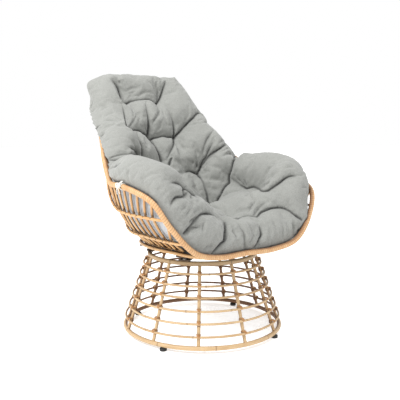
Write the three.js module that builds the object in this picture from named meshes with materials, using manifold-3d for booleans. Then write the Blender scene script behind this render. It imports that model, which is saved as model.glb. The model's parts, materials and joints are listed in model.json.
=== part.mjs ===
// A high-backed papasan swivel chair: a rattan basket seat with one tufted pad, on a round lattice stand.
// Millimetres, +Z up. The chair faces -Y and stands on z = 0, with the middle of its box on the Z axis.
import * as THREE from "three";
import { mergeVertices } from "three/addons/utils/BufferGeometryUtils.js";
import Module from "manifold-3d";

const wasm = await Module();
wasm.setup();

// Fits
const clearance = 0.3;
const overrun = 4;
const meltDistance = 0.001;
const sliverSize = 0.02;

// Stand
const footHeight = 11;
const footRadius = 13;
const footEdge = 1.5;
const footStemRadius = 4.5;
const footStemLength = 11;
const footCount = 4;
const firstFootAngle = -62.9;
const floorRingTube = 8;
const floorRingRadius = 300;
const topRingTube = 8;
const topRingRadius = 204;
const topRingHeight = 294;
const uprightRadius = 6;
const uprightCount = 11;
const firstUprightAngle = -30.3;
const hoopTube = 4;
const hoopHeightShares = [0.197, 0.337, 0.473, 0.621, 0.751, 0.887];

// Swivel
const armWidth = 40;
const armThickness = 5;
const armAngle = 36;
const standArmEnd = 10;
const seatArmReach = 240;
const plateRadius = 76;
const plateThickness = 2.5;
const ballRadius = 5.5;
const ballCount = 8;
const ballCircleRadius = 58;
const grooveDepth = 1.2;
const cageThickness = 1.8;
const cageWidth = 7;
const pinRadius = 8;
const pinHeadRadius = 14;
const pinHeadHeight = 3;
const headPocketRadius = 20;
const boltRadius = 3;
const boltLength = 14;
const boltHeadRadius = 7;
const boltHeadHeight = 4;

// Basket
const rimRadius = 10;
const rodRadius = 5;
const seatRingTube = 7;
const ribRadius = 4.5;
const ribCount = 22;
const basketHalfWidth = 387;
const basketBack = 512;
const basketHeight = 592;
const ribSlack = 0.7;

// Tie
const tieThickness = 1.8;
const tieWidth = 16;
const tieKnotRadius = 7;
const tieTailLength = 30;
const tieTailWidth = 8;
const tieTailAngle = 25;
const tieRib = 5;

// Pad
const padThickness = 140;
const padSlack = 3;
const padRimSlack = 5;
const creaseReach = 70;
const padFlatness = 3;

// Half of the rim, from the middle of the front to the middle of the top.
// Shares of the basket's half width, its reach to the back and its height.
const rimShares = [
  [0, -0.525, 0.004],
  [0.32, -0.533, 0.004],
  [0.592, -0.547, 0.049],
  [0.806, -0.516, 0.193],
  [0.928, -0.441, 0.336],
  [0.997, -0.184, 0.406],
  [0.961, 0.059, 0.411],
  [0.904, 0.186, 0.443],
  [0.804, 0.4, 0.543],
  [0.703, 0.582, 0.646],
  [0.641, 0.719, 0.74],
  [0.584, 0.85, 0.845],
  [0.47, 0.953, 0.943],
  [0.271, 0.992, 0.987],
  [0, 1, 1],
];

// The same shares for half of each rod and of the seat ring, from the rim to the middle of the back
const upperRodShares = [
  [0.904, -0.4, 0.244],
  [0.925, -0.254, 0.245],
  [0.92, -0.088, 0.245],
  [0.891, 0.098, 0.259],
  [0.814, 0.313, 0.338],
  [0.685, 0.518, 0.45],
  [0.439, 0.713, 0.561],
  [0, 0.811, 0.625],
];
const lowerRodShares = [
  [0.711, -0.449, 0.1],
  [0.724, -0.293, 0.098],
  [0.726, -0.078, 0.097],
  [0.713, 0.117, 0.098],
  [0.641, 0.293, 0.119],
  [0.512, 0.459, 0.166],
  [0.297, 0.601, 0.237],
  [0, 0.654, 0.274],
];
const seatRingShares = [
  [0.413, -0.465, 0],
  [0.483, -0.375, 0],
  [0.517, -0.234, 0],
  [0.556, -0.054, 0],
  [0.561, 0.084, 0],
  [0.538, 0.186, 0],
  [0.476, 0.304, 0],
  [0.323, 0.414, 0],
  [0, 0.469, 0],
];

// Where each rod leaves the rim, as a share of the half rim from the middle of the front
const rimJointShares = { upper: 0.256, lower: 0.188, ring: 0.078 };

// Where the first full rib crosses each curve, how the ribs crowd there, and the short front rib
const ribStartShares = { rim: 0.306, upper: 0.066, lower: 0.148, ring: 0.27 };
const ribCrowdShares = { rim: 0.35, upper: 0.11, lower: -0.28, ring: -0.25 };
const frontRibShares = { rim: 0.247, lower: 0.1, ring: 0.225 };

// Pad: its edge roll along the half rim. Each row has a place on the rim, then the roll's rise, how far in
// its crest lies and its overhang there, as shares of the thickness.
const padRollShares = [
  [0, 0.95, 0.52, 0],
  [0.05, 1, 0.56, 0],
  [0.1, 1.12, 0.66, -0.04],
  [0.15, 1.25, 0.76, -0.1],
  [0.2, 1.34, 0.78, -0.12],
  [0.24, 1.22, 0.7, -0.1],
  [0.28, 0.96, 0.64, -0.1],
  [0.32, 0.74, 0.58, -0.08],
  [0.4, 0.62, 0.52, -0.04],
  [0.48, 0.56, 0.48, 0],
  [0.52, 0.42, 0.46, 0],
  [0.55, 0.14, 0.44, 0],
  [0.59, 0.1, 0.44, 0],
  [0.63, 0.34, 0.46, 0.02],
  [0.7, 0.44, 0.46, 0.1],
  [0.8, 0.46, 0.46, 0.22],
  [0.88, 0.36, 0.46, 0.28],
  [0.94, 0.24, 0.44, 0.24],
  [1, 0.18, 0.44, 0.18],
];
const padMiddleShare = -0.08;
const padCrownShare = 0.65;
const padBackShares = [0.28, 0.5];
const padRollAngles = [0, 35, 70, 105, 140];

// Pad: front sections as shares of the half rim
const padFrontShares = [0, 0.045, 0.09, 0.13, 0.17, 0.215];

// Sewn tufts: shares of half width, reach and height, then the depth as a share of the thickness.
// Left and right differ a little, as the pad is sewn by hand and lies as it likes.
const tuftShares = {
  backTopLeft: [-0.28, 0.68, 0.98, 0.37],
  backTopRight: [0.11, 0.69, 0.98, 0.37],
  backLeft: [-0.11, 0.54, 0.71, 0.36],
  backRight: [0.2, 0.54, 0.71, 0.33],
  waistLeft: [-0.21, 0.4, 0.45, 0.31],
  waistRight: [0.29, 0.38, 0.44, 0.31],
  seatLeft: [-0.23, 0.18, 0.23, 0.26],
  seatRight: [0.29, 0.21, 0.23, 0.26],
  wingLeft: [-0.49, 0.22, 0.39, 0.31],
  wingRight: [0.49, 0.22, 0.39, 0.31],
  armLeft: [-0.53, -0.2, 0.38, 0.27],
  armRight: [0.53, -0.2, 0.38, 0.27],
  frontLeft: [-0.16, -0.42, 0.22, 0.26],
  frontRight: [0.25, -0.4, 0.25, 0.26],
};

// Creases between the tufts and out over the edge, in the same shares
const creaseShares = [
  ["backTopLeft", [-0.21, 0.68, 0.97, 0.16], [-0.08, 0.69, 0.98, 0.16], "backTopRight"],
  ["backTopLeft", [-0.37, 0.72, 1.06, 0.14], [-0.45, 0.78, 1.1, 0.03]],
  ["backTopRight", [0.16, 0.72, 1.03, 0.2], [0.22, 0.76, 1.09, 0.05]],
  ["backTopLeft", [-0.4, 0.57, 0.84, 0.13], [-0.34, 0.52, 0.75, 0.16], "backLeft"],
  ["backTopRight", [0.09, 0.63, 0.88, 0.13], [0.14, 0.59, 0.8, 0.1], "backRight"],
  ["backLeft", [0, 0.54, 0.7, 0.17], "backRight"],
  ["backRight", [0.27, 0.55, 0.76, 0.21], [0.38, 0.55, 0.82, 0.1], [0.49, 0.64, 0.85, 0]],
  ["backLeft", [-0.27, 0.55, 0.76, 0.21], [-0.38, 0.55, 0.82, 0.1], [-0.49, 0.64, 0.85, 0]],
  ["backLeft", [-0.06, 0.5, 0.63, 0.19], [-0.08, 0.45, 0.53, 0.19], "waistLeft"],
  ["backRight", [0.17, 0.48, 0.59, 0.1], [0.2, 0.44, 0.52, 0.09], "waistRight"],
  ["waistRight", [0.39, 0.35, 0.53, 0.19], [0.49, 0.31, 0.59, 0.13], [0.65, 0.33, 0.64, 0]],
  ["waistLeft", [-0.39, 0.35, 0.53, 0.19], [-0.49, 0.31, 0.59, 0.13], [-0.65, 0.33, 0.64, 0]],
  ["waistLeft", [0, 0.41, 0.44, 0.13], "waistRight"],
  ["waistRight", [0.3, 0.3, 0.35, 0.13], "seatRight"],
  ["waistLeft", [-0.3, 0.3, 0.35, 0.13], "seatLeft"],
  ["seatRight", [0.41, 0.2, 0.31, 0.17], "wingRight"],
  ["seatLeft", [-0.41, 0.2, 0.31, 0.17], "wingLeft"],
  ["wingRight", [0.52, 0.2, 0.47, 0.2], [0.7, 0.21, 0.54, 0.06]],
  ["wingLeft", [-0.52, 0.2, 0.47, 0.2], [-0.7, 0.21, 0.54, 0.06]],
  ["wingRight", [0.53, 0.02, 0.35, 0.16], "armRight"],
  ["wingLeft", [-0.53, 0.02, 0.35, 0.16], "armLeft"],
  ["armRight", [0.51, -0.41, 0.41, 0.17], [0.67, -0.45, 0.45, 0.1]],
  ["armLeft", [-0.51, -0.41, 0.41, 0.17], [-0.67, -0.45, 0.45, 0.1]],
  ["frontRight", [0.31, -0.45, 0.26, 0.16], [0.56, -0.51, 0.23, 0.16], [0.69, -0.52, 0.18, 0.11]],
  ["frontLeft", [0, -0.4, 0.22, 0.11], "frontRight"],
  ["frontRight", [0.22, -0.5, 0.17, 0.17], [0.23, -0.52, 0.13, 0.13], [0.19, -0.53, 0.07, 0.1]],
  ["frontLeft", [-0.17, -0.48, 0.19, 0.21], [-0.21, -0.52, 0.13, 0.17], [-0.28, -0.52, 0.06, 0.14]],
];

// Facets
const ringSides = 8;
const hoopSides = 5;
const rodSides = 6;
const ribSides = 5;
const rimSteps = 72;
const rodSteps = 40;
const curveDivisions = 1152;
const turnedSides = 12;
const ribLegSteps = 2;
const padShellRings = 6;
const padTopRings = 10;
const padCreasedRollRings = 4;

// Materials
function finish(color, roughness, metalness = 0) {
  return new THREE.MeshStandardMaterial({ color, roughness, metalness });
}
const rattan = () => finish(0xdcae74, 0.55);
const wovenRattan = () => finish(0xe6bb84, 0.6);
const topRattan = () => finish(0xb8975f, 0.55);
const darkSteel = () => finish(0x4a3a28, 0.45, 0.7);
const brightSteel = () => finish(0xc8c4ba, 0.3, 0.9);
const blackRubber = () => finish(0x161616, 0.7);
const greyCloth = () => finish(0xa9aaa8, 0.95);
const whiteCotton = () => finish(0xf1efe8, 0.95);

const radians = THREE.MathUtils.degToRad;
const upward = new THREE.Vector3(0, 0, 1);

// One closed mesh with shared corners, no collapsed faces and its faces out
function closed(geometry) {
  const bare = geometry.clone();
  bare.deleteAttribute("normal");
  bare.deleteAttribute("uv");
  const merged = mergeVertices(bare, meltDistance);
  const { array } = merged.index;
  const places = merged.attributes.position;
  const faces = [];
  const a = new THREE.Vector3();
  const b = new THREE.Vector3();
  const c = new THREE.Vector3();
  let volume = 0;
  for (let i = 0; i < array.length; i += 3) {
    const [p, q, r] = [array[i], array[i + 1], array[i + 2]];
    if (p === q || q === r || r === p) continue;
    faces.push([p, q, r]);
    b.fromBufferAttribute(places, q).cross(c.fromBufferAttribute(places, r));
    volume += a.fromBufferAttribute(places, p).dot(b);
  }
  merged.setIndex(faces.flatMap(([p, q, r]) => (volume < 0 ? [p, r, q] : [p, q, r])));
  return merged;
}

function toSolid(geometry) {
  const { attributes, index } = closed(geometry);
  return new wasm.Manifold(
    new wasm.Mesh({
      numProp: 3,
      vertProperties: new Float32Array(attributes.position.array),
      triVerts: new Uint32Array(index.array),
    }),
  );
}

function toGeometry(solid) {
  const { vertProperties, triVerts } = solid.getMesh();
  const geometry = new THREE.BufferGeometry();
  geometry.setAttribute("position", new THREE.BufferAttribute(vertProperties, 3));
  geometry.setIndex(new THREE.BufferAttribute(triVerts, 1));
  return geometry;
}

// In what is cut or joined, triangles thinner than a sliver are melted into their neighbours
function cut(body, ...tools) {
  const left = tools.reduce((solid, tool) => solid.subtract(toSolid(tool)), toSolid(body));
  return toGeometry(left.simplify(sliverSize));
}

function join(...bodies) {
  const whole = bodies.map(toSolid).reduce((all, next) => all.add(next));
  return toGeometry(whole.simplify(sliverSize));
}

// A skin over rings of points: joined end to start, or closed by a point at each end.
// Each square between the rings is split along its shorter diagonal.
function skin(rings, ends) {
  const count = rings[0].length;
  const places = rings.flat().flatMap((point) => [point.x, point.y, point.z]);
  const faces = [];
  const spans = ends ? rings.length - 1 : rings.length;
  for (let i = 0; i < spans; i++) {
    const next = (i + 1) % rings.length;
    for (let j = 0; j < count; j++) {
      const side = (j + 1) % count;
      const [p, q, r, s] = [i * count + j, i * count + side, next * count + side, next * count + j];
      const forward = rings[i][j].distanceTo(rings[next][side]);
      const backward = rings[i][side].distanceTo(rings[next][j]);
      faces.push(...(forward > backward + meltDistance ? [p, q, s, q, r, s] : [p, q, r, p, r, s]));
    }
  }
  if (ends) {
    const first = places.length / 3;
    const last = (rings.length - 1) * count;
    places.push(ends[0].x, ends[0].y, ends[0].z, ends[1].x, ends[1].y, ends[1].z);
    for (let j = 0; j < count; j++) {
      const side = (j + 1) % count;
      faces.push(first, side, j, first + 1, last + j, last + side);
    }
  }
  const geometry = new THREE.BufferGeometry();
  geometry.setAttribute("position", new THREE.Float32BufferAttribute(places, 3));
  geometry.setIndex(faces);
  return geometry;
}

// A round rod along a list of points, as one ring of points at each
function rodThrough(points, radius, sides, isLoop = false) {
  const count = points.length;
  const pointAt = (i) => points[isLoop ? (i + count) % count : Math.min(Math.max(i, 0), count - 1)];
  const tangentAt = (i) => {
    const arriving = points[i].clone().sub(pointAt(i - 1)).normalize();
    const leaving = pointAt(i + 1).clone().sub(points[i]).normalize();
    return arriving.add(leaving).normalize();
  };
  const side = new THREE.Vector3().crossVectors(tangentAt(0), upward).normalize();
  if (side.lengthSq() === 0) side.set(1, 0, 0);
  const rings = points.map((point, i) => {
    const along = tangentAt(i);
    side.addScaledVector(along, -side.dot(along)).normalize();
    const across = new THREE.Vector3().crossVectors(along, side);
    return Array.from({ length: sides }, (_, j) => {
      const turn = (j / sides) * 2 * Math.PI;
      return point
        .clone()
        .addScaledVector(side, radius * Math.cos(turn))
        .addScaledVector(across, radius * Math.sin(turn));
    });
  });
  return skin(rings, isLoop ? null : [points[0], points[count - 1]]);
}

const ringOf = (radius, tube, sides, steps) => new THREE.TorusGeometry(radius, tube, sides, steps);

// A turned piece from radius and height pairs that start and end on the axis
function turned(profile, sides = turnedSides) {
  const points = profile.map(([radius, height]) => new THREE.Vector2(radius, height));
  return new THREE.LatheGeometry(points, sides).rotateX(Math.PI / 2);
}

const disc = (radius, low, high) =>
  turned([
    [0, low],
    [radius, low],
    [radius, high],
    [0, high],
  ]);

const bar = (length, width, low, high) =>
  new THREE.BoxGeometry(length, width, high - low).translate(0, 0, (low + high) / 2);

function piece(name, geometry, material) {
  const mesh = new THREE.Mesh(closed(geometry), material);
  mesh.name = name;
  mesh.geometry.computeVertexNormals();
  return mesh;
}

// Heights of the stack, from the floor up
const floorRingHeight = footHeight + clearance + floorRingTube;
const standArmBottom = topRingHeight + topRingTube + clearance;
const standArmTop = standArmBottom + armThickness;
const lowerPlateTop = standArmTop + plateThickness;
const ballHeight = lowerPlateTop - grooveDepth + clearance + ballRadius;
const upperPlateBottom = ballHeight + ballRadius + clearance - grooveDepth;
const seatArmBottom = upperPlateBottom + plateThickness;
const seatArmTop = seatArmBottom + armThickness;
const seatRingHeight = seatArmTop + clearance + seatRingTube;

// Stand, in a frame turned so that the first upright stands on its X axis
const stand = new THREE.Group();
stand.rotation.z = radians(firstUprightAngle);
const inStand = (angle) => radians(angle - firstUprightAngle);
const ringSteps = 3 * uprightCount;

const footPlaces = Array.from({ length: footCount }, (_, i) => {
  const turn = inStand(firstFootAngle) + (i / footCount) * 2 * Math.PI;
  return new THREE.Vector3(floorRingRadius * Math.cos(turn), floorRingRadius * Math.sin(turn), 0);
});
const footStemTop = footHeight + footStemLength;
const foot = turned([
  [0, 0],
  [footRadius - footEdge, 0],
  [footRadius, footEdge],
  [footRadius, footHeight - footEdge],
  [footRadius - footEdge, footHeight],
  [footStemRadius, footHeight],
  [footStemRadius, footStemTop],
  [0, footStemTop],
]);
footPlaces.forEach((place, i) => {
  const mesh = piece(`foot_${i + 1}`, foot, blackRubber());
  mesh.position.copy(place);
  stand.add(mesh);
});

const lifted = (geometry, height) => geometry.translate(0, 0, height);
const atFloorRing = (tube) => lifted(ringOf(floorRingRadius, tube, ringSides, ringSteps), floorRingHeight);
const atTopRing = (tube) => lifted(ringOf(topRingRadius, tube, ringSides, ringSteps), topRingHeight);
const footHoles = footPlaces.map(({ x, y }) =>
  disc(footStemRadius + clearance, footHeight - overrun, footStemTop + clearance).translate(x, y, 0),
);
stand.add(piece("floor_ring", cut(atFloorRing(floorRingTube), ...footHoles), rattan()));

const armTurns = [armAngle, 180 - armAngle];
const boltPlaces = armTurns
  .flatMap((angle) => [inStand(angle), inStand(angle) + Math.PI])
  .map((turn) => new THREE.Vector3(topRingRadius * Math.cos(turn), topRingRadius * Math.sin(turn), 0));
const boltBottom = standArmTop + clearance - boltLength;
const boltHoles = boltPlaces.map(({ x, y }) =>
  disc(boltRadius + clearance, boltBottom - clearance, standArmTop + overrun).translate(x, y, 0),
);
stand.add(piece("top_ring", cut(atTopRing(topRingTube), ...boltHoles), topRattan()));

// One upright leans in from the floor ring to the top ring and is coped to both
const uprightFoot = new THREE.Vector3(floorRingRadius, 0, floorRingHeight);
const uprightHead = new THREE.Vector3(topRingRadius, 0, topRingHeight);
const upright = cut(
  rodThrough([uprightFoot, uprightHead], uprightRadius, ringSides),
  atFloorRing(floorRingTube + clearance),
  atTopRing(topRingTube + clearance),
);
for (let i = 0; i < uprightCount; i++) {
  const mesh = piece(`upright_${i + 1}`, upright, rattan());
  mesh.rotation.z = (i / uprightCount) * 2 * Math.PI;
  stand.add(mesh);
}

// The hoops lie on the outside of the uprights
const lean = Math.atan2(floorRingRadius - topRingRadius, topRingHeight - floorRingHeight);
hoopHeightShares.forEach((share, i) => {
  const height = topRingHeight * share;
  const inner = floorRingRadius - (height - floorRingHeight) * Math.tan(lean);
  const radius = inner + (uprightRadius + clearance + hoopTube) / Math.cos(lean);
  const mesh = piece(`hoop_${i + 1}`, ringOf(radius, hoopTube, hoopSides, ringSteps), rattan());
  mesh.position.z = height;
  stand.add(mesh);
});

// A swivel plate on crossed arms, with a groove for the balls and room for the pin and its head
const ballTrack = ringOf(ballCircleRadius, ballRadius + clearance, ringSides, 2 * turnedSides);
const ballGroove = lifted(ballTrack, ballHeight);
function swivelPlate(reach, armLow, plateLow, turns, holes) {
  const arms = turns.map((turn) => bar(2 * reach, armWidth, armLow, armLow + armThickness).rotateZ(turn));
  const plate = disc(plateRadius, plateLow, plateLow + plateThickness);
  const pocket = disc(headPocketRadius, armLow - overrun, armLow + armThickness + overrun);
  const shaft = disc(pinRadius + clearance, armLow - overrun, armLow + armThickness + overrun);
  return cut(join(cut(join(...arms), pocket), plate), ballGroove, shaft, ...holes);
}

const standPlate = swivelPlate(
  topRingRadius + standArmEnd,
  standArmBottom,
  standArmTop,
  armTurns.map(inStand),
  boltHoles,
);
stand.add(piece("stand_swivel_plate", standPlate, darkSteel()));

const bolt = turned([
  [0, boltBottom],
  [boltRadius, boltBottom],
  [boltRadius, standArmTop + clearance],
  [boltHeadRadius, standArmTop + clearance],
  [boltHeadRadius, standArmTop + clearance + boltHeadHeight / 2],
  [boltHeadRadius / 2, standArmTop + clearance + boltHeadHeight],
  [0, standArmTop + clearance + boltHeadHeight],
]);
boltPlaces.forEach((place, i) => {
  const mesh = piece(`arm_bolt_${i + 1}`, bolt, brightSteel());
  mesh.position.copy(place);
  stand.add(mesh);
});

// Balls held in a flat cage ring
const cageInner = ballCircleRadius - cageWidth;
const cageOuter = ballCircleRadius + cageWidth;
const cage = turned(
  [
    [cageInner, ballHeight - cageThickness / 2],
    [cageOuter, ballHeight - cageThickness / 2],
    [cageOuter, ballHeight + cageThickness / 2],
    [cageInner, ballHeight + cageThickness / 2],
    [cageInner, ballHeight - cageThickness / 2],
  ],
  2 * turnedSides,
);
const balls = Array.from({ length: ballCount }, (_, i) =>
  new THREE.IcosahedronGeometry(ballRadius, 1)
    .translate(ballCircleRadius, 0, ballHeight)
    .rotateZ((i / ballCount) * 2 * Math.PI),
);
stand.add(piece("ball_race", join(cage, ...balls), brightSteel()));

// The pin holds both plates together, with a head in each pocket
const pinFoot = standArmTop - clearance - pinHeadHeight;
const pinTop = seatArmBottom + clearance + pinHeadHeight;
const pin = turned([
  [0, pinFoot],
  [pinHeadRadius, pinFoot],
  [pinHeadRadius, pinFoot + pinHeadHeight],
  [pinRadius, pinFoot + pinHeadHeight],
  [pinRadius, pinTop - pinHeadHeight],
  [pinHeadRadius, pinTop - pinHeadHeight],
  [pinHeadRadius, pinTop],
  [0, pinTop],
]);
stand.add(piece("king_pin", pin, brightSteel()));

// Seat
const seat = new THREE.Group();
const seatPlate = swivelPlate(
  seatArmReach,
  seatArmBottom,
  upperPlateBottom,
  armTurns.map(radians),
  [],
);
seat.add(piece("seat_swivel_plate", seatPlate, darkSteel()));

const place = ([x, y, z]) =>
  new THREE.Vector3(basketHalfWidth * x, basketBack * y, seatRingHeight + basketHeight * z);
const flip = ({ x, y, z }) => new THREE.Vector3(-x, y, z);
const curve = (points, isLoop = false) => {
  const smooth = new THREE.CatmullRomCurve3(points, isLoop, "centripetal");
  smooth.arcLengthDivisions = curveDivisions;
  return smooth;
};

// The rim is one loop, alike left and right
const rimHalf = rimShares.map(place);
const rimCurve = curve([...rimHalf, ...rimHalf.slice(1, -1).reverse().map(flip)], true);
const rimAt = (share) => rimCurve.getPointAt(share / 2);
const rimPoints = rimCurve.getSpacedPoints(rimSteps).slice(0, -1);
const rimBody = (radius) => rodThrough(rimPoints, radius, ringSides, true);
seat.add(piece("rim", rimBody(rimRadius), wovenRattan()));

// Each rod runs from the rim round the back to the rim again
function basketRod(shares, jointShare) {
  const half = [rimAt(jointShare), ...shares.map(place)];
  return curve([...half, ...half.slice(0, -1).reverse().map(flip)]);
}
const upperCurve = basketRod(upperRodShares, rimJointShares.upper);
const lowerCurve = basketRod(lowerRodShares, rimJointShares.lower);
const ringCurve = basketRod(seatRingShares, rimJointShares.ring);
const rimRoom = rimBody(rimRadius + clearance);
const rodBody = (path, radius) => rodThrough(path.getSpacedPoints(rodSteps), radius, rodSides);
seat.add(piece("upper_rod", cut(rodBody(upperCurve, rodRadius), rimRoom), rattan()));
seat.add(piece("lower_rod", cut(rodBody(lowerCurve, rodRadius), rimRoom), rattan()));
seat.add(piece("seat_ring", cut(rodBody(ringCurve, seatRingTube), rimRoom), rattan()));

// A rib crosses the rods on their inner side. The last rib stops half a space before the middle of the back.
const crowded = (share, crowding) => share * (1 + crowding * (share - 1));
const alongRib = (index) => (index - 1) / (ribCount - 1 - 1 / 2);
function ribShare(name, index) {
  if (index < 1 && name in frontRibShares) return frontRibShares[name];
  const start = ribStartShares[name];
  return start + (1 - start) * crowded(alongRib(index), ribCrowdShares[name]);
}

// A leg runs from the rim over the upper and lower rod to the seat ring, kept inside each of them
const ribPaths = [
  { path: upperCurve, name: "upper", radius: rodRadius },
  { path: lowerCurve, name: "lower", radius: rodRadius },
  { path: ringCurve, name: "ring", radius: seatRingTube },
];
const bowlMiddle = place([0, padMiddleShare, 0]).setZ(seatRingHeight + basketHeight / 2);
function ribLeg(index) {
  const crossed = index < 1 ? ribPaths.slice(1) : ribPaths;
  const top = rimAt(ribShare("rim", index));
  const onPath = crossed.map(({ path, name }) => path.getPointAt(ribShare(name, index) / 2));
  const points = [top, ...onPath];
  const inwards = crossed.map(({ path, name }, i) => {
    const along = points[i].clone().sub(points[Math.min(i + 2, crossed.length)]);
    const inward = along.cross(path.getTangentAt(ribShare(name, index) / 2)).normalize();
    return inward.dot(bowlMiddle.clone().sub(onPath[i])) < 0 ? inward.negate() : inward;
  });
  const seats = onPath.map((point, i) => {
    const room = crossed[i].radius + ribSlack + ribRadius;
    return point.clone().addScaledVector(inwards[i], room);
  });
  const path = curve([top, ...seats]);
  const steps = seats.length * ribLegSteps;
  const samples = Array.from({ length: steps + 1 }, (_, i) => path.getPoint(i / steps));
  return { top, seats, inwards, samples };
}
const legs = Array.from({ length: ribCount }, (_, index) => ribLeg(index));

// Two legs and the turn between them are one bent cane
function hairpin(first, second, radius) {
  return rodThrough([...first.samples, ...second.samples.toReversed()], radius, ribSides);
}
for (let i = 0; i < ribCount; i += 2) {
  const cane = hairpin(legs[i], legs[i + 1], ribRadius);
  const label = i / 2 + 1;
  seat.add(piece(`rib_right_${label}`, cut(cane, rimRoom), rattan()));
  seat.add(piece(`rib_left_${label}`, cut(cane.clone().scale(-1, 1, 1), rimRoom), rattan()));
}

// A cotton tie is knotted round the rim on each side, between two ribs
const tieShare = (ribShare("rim", tieRib) + ribShare("rim", tieRib + 1)) / 2;
const tieRing = turned([
  [rimRadius + clearance, -tieWidth / 2],
  [rimRadius + clearance + tieThickness, -tieWidth / 2],
  [rimRadius + clearance + tieThickness, tieWidth / 2],
  [rimRadius + clearance, tieWidth / 2],
  [rimRadius + clearance, -tieWidth / 2],
]);
const knotReach = rimRadius + clearance + tieKnotRadius;
const knot = new THREE.SphereGeometry(tieKnotRadius, ringSides, ringSides / 2).translate(knotReach, 0, 0);
const tails = [-1, 1].map((side) =>
  new THREE.BoxGeometry(tieThickness, tieTailLength, tieTailWidth)
    .translate(0, tieTailLength / 2, 0)
    .rotateX(radians(side * tieTailAngle))
    .translate(knotReach, 0, 0),
);
const tieBody = join(tieRing, knot, ...tails);
[1, -1].forEach((side) => {
  const centre = rimAt(tieShare);
  const along = rimCurve.getTangentAt(tieShare / 2);
  const outward = centre.clone().sub(bowlMiddle).setZ(0);
  outward.addScaledVector(along, -outward.dot(along)).normalize();
  const across = new THREE.Vector3().crossVectors(along, outward);
  const frame = new THREE.Matrix4().makeBasis(outward, across, along).setPosition(centre);
  const body = tieBody.clone().applyMatrix4(frame).scale(side, 1, 1);
  seat.add(piece(side > 0 ? "tie_right" : "tie_left", cut(body, rimRoom), whiteCotton()));
});

// Pad: sections run from its middle underneath, out over the rim and back to its middle on top
const padBottom = seatArmTop + clearance;
const padPole = bowlMiddle.clone().setZ(padBottom);
const padTop = padPole.clone().setZ(padBottom + padThickness);
const padEdge = rimRadius + tieThickness + 2 * clearance + padRimSlack;
const padFootRoom = seatRingTube + ribSlack + 2 * ribRadius + padSlack;

// The edge of the pad is a roll that stands over the rim: its rise, width and overhang change along the rim
function padRoll(rimShare, { inward, up, squareIn, squareUp }) {
  const after = Math.max(padRollShares.findIndex(([at]) => at >= rimShare), 1);
  const [before, next] = padRollShares.slice(after - 1, after + 1);
  const along = (rimShare - before[0]) / (next[0] - before[0]);
  const shares = before.map((share, i) => THREE.MathUtils.lerp(share, next[i], along));
  const [rise, crest, overhang] = shares.slice(1).map((share) => padThickness * share);
  const halfWidth = crest + overhang;
  const crown = rise * padCrownShare;
  const fromRim = (across, inset, high, lift) => {
    return rimAt(rimShare).addScaledVector(across, inset).addScaledVector(high, lift);
  };
  const low = fromRim(squareIn, padEdge, squareUp, -rimRadius);
  const beside = fromRim(squareIn, padEdge / 2, squareUp, Math.min(padEdge, rise - crown));
  const roll = padRollAngles.map(radians).map((turn) => {
    const inset = halfWidth * (1 - Math.cos(turn)) - overhang;
    return fromRim(inward, inset, up, rise - crown + crown * Math.sin(turn));
  });
  return [low, beside, ...roll];
}

// Towards the middle of the seat and straight up in front, and square to the rim along the shell behind
function rimFrame(rimShare, shellUp) {
  const backness = THREE.MathUtils.smoothstep(rimShare, ...padBackShares);
  const along = rimCurve.getTangentAt(rimShare / 2);
  const level = padPole.clone().sub(rimAt(rimShare)).setZ(0).normalize();
  const up = upward.clone().lerp(shellUp, backness).normalize();
  const squareUp = up.clone().addScaledVector(along, -up.dot(along)).normalize();
  const squareIn = squareUp.clone().cross(along).normalize();
  if (squareIn.dot(level) < 0) squareIn.negate();
  const inward = level.lerp(squareIn, backness).normalize();
  return { backness, inward, up, squareIn, squareUp };
}

// Points spread evenly along a list of points
function spread(points, count) {
  return Array.from({ length: count }, (_, i) => {
    const place = (i * (points.length - 1)) / (count - 1);
    const before = Math.min(Math.floor(place), points.length - 2);
    return points[before].clone().lerp(points[before + 1], place - before);
  });
}

// From the end of the roll down to the middle of the seat, steep at first
function padSlope(start) {
  return Array.from({ length: padTopRings }, (_, i) => {
    const along = (i + 1) / (padTopRings + 1);
    const point = start.clone().lerp(padTop, along);
    return point.setZ(THREE.MathUtils.lerp(padTop.z, start.z, (1 - along) ** 2));
  });
}

// Points inside a rib's leg, from just below the rim down to its foot
function insideLeg({ samples, inwards }, room) {
  return samples.slice(1).map((point, i) => {
    const place = Math.max((i + 1) / ribLegSteps - 1, 0);
    const before = Math.min(Math.floor(place), inwards.length - 2);
    const inward = inwards[before].clone().lerp(inwards[before + 1], place - before).normalize();
    return point.clone().addScaledVector(inward, room);
  });
}

// One section of the pad: from its middle underneath along the shell, over the edge and back along the top
function padSection(footPlace, shell, edge, top) {
  const toMiddle = padPole.clone().sub(footPlace).setZ(0).normalize();
  const drop = footPlace.clone().addScaledVector(toMiddle, padFootRoom).setZ(padBottom);
  return [drop, ...spread(shell, padShellRings), ...edge, ...top];
}

function ribSection(index) {
  const leg = legs[index];
  const rimShare = ribShare("rim", index);
  const frame = rimFrame(rimShare, leg.top.clone().sub(leg.seats[0]).normalize());
  const edge = padRoll(rimShare, frame);
  const crest = edge[edge.length - 1];
  const behind = spread([crest, ...insideLeg(leg, padThickness).slice(0, -1)], padTopRings + 1).slice(1);
  const top = padSlope(crest).map((point, i) => point.lerp(behind[i], frame.backness));
  const footPlace = ringCurve.getPointAt(ribShare("ring", index) / 2);
  return padSection(footPlace, insideLeg(leg, ribRadius + padSlack).toReversed(), edge, top);
}

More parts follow.
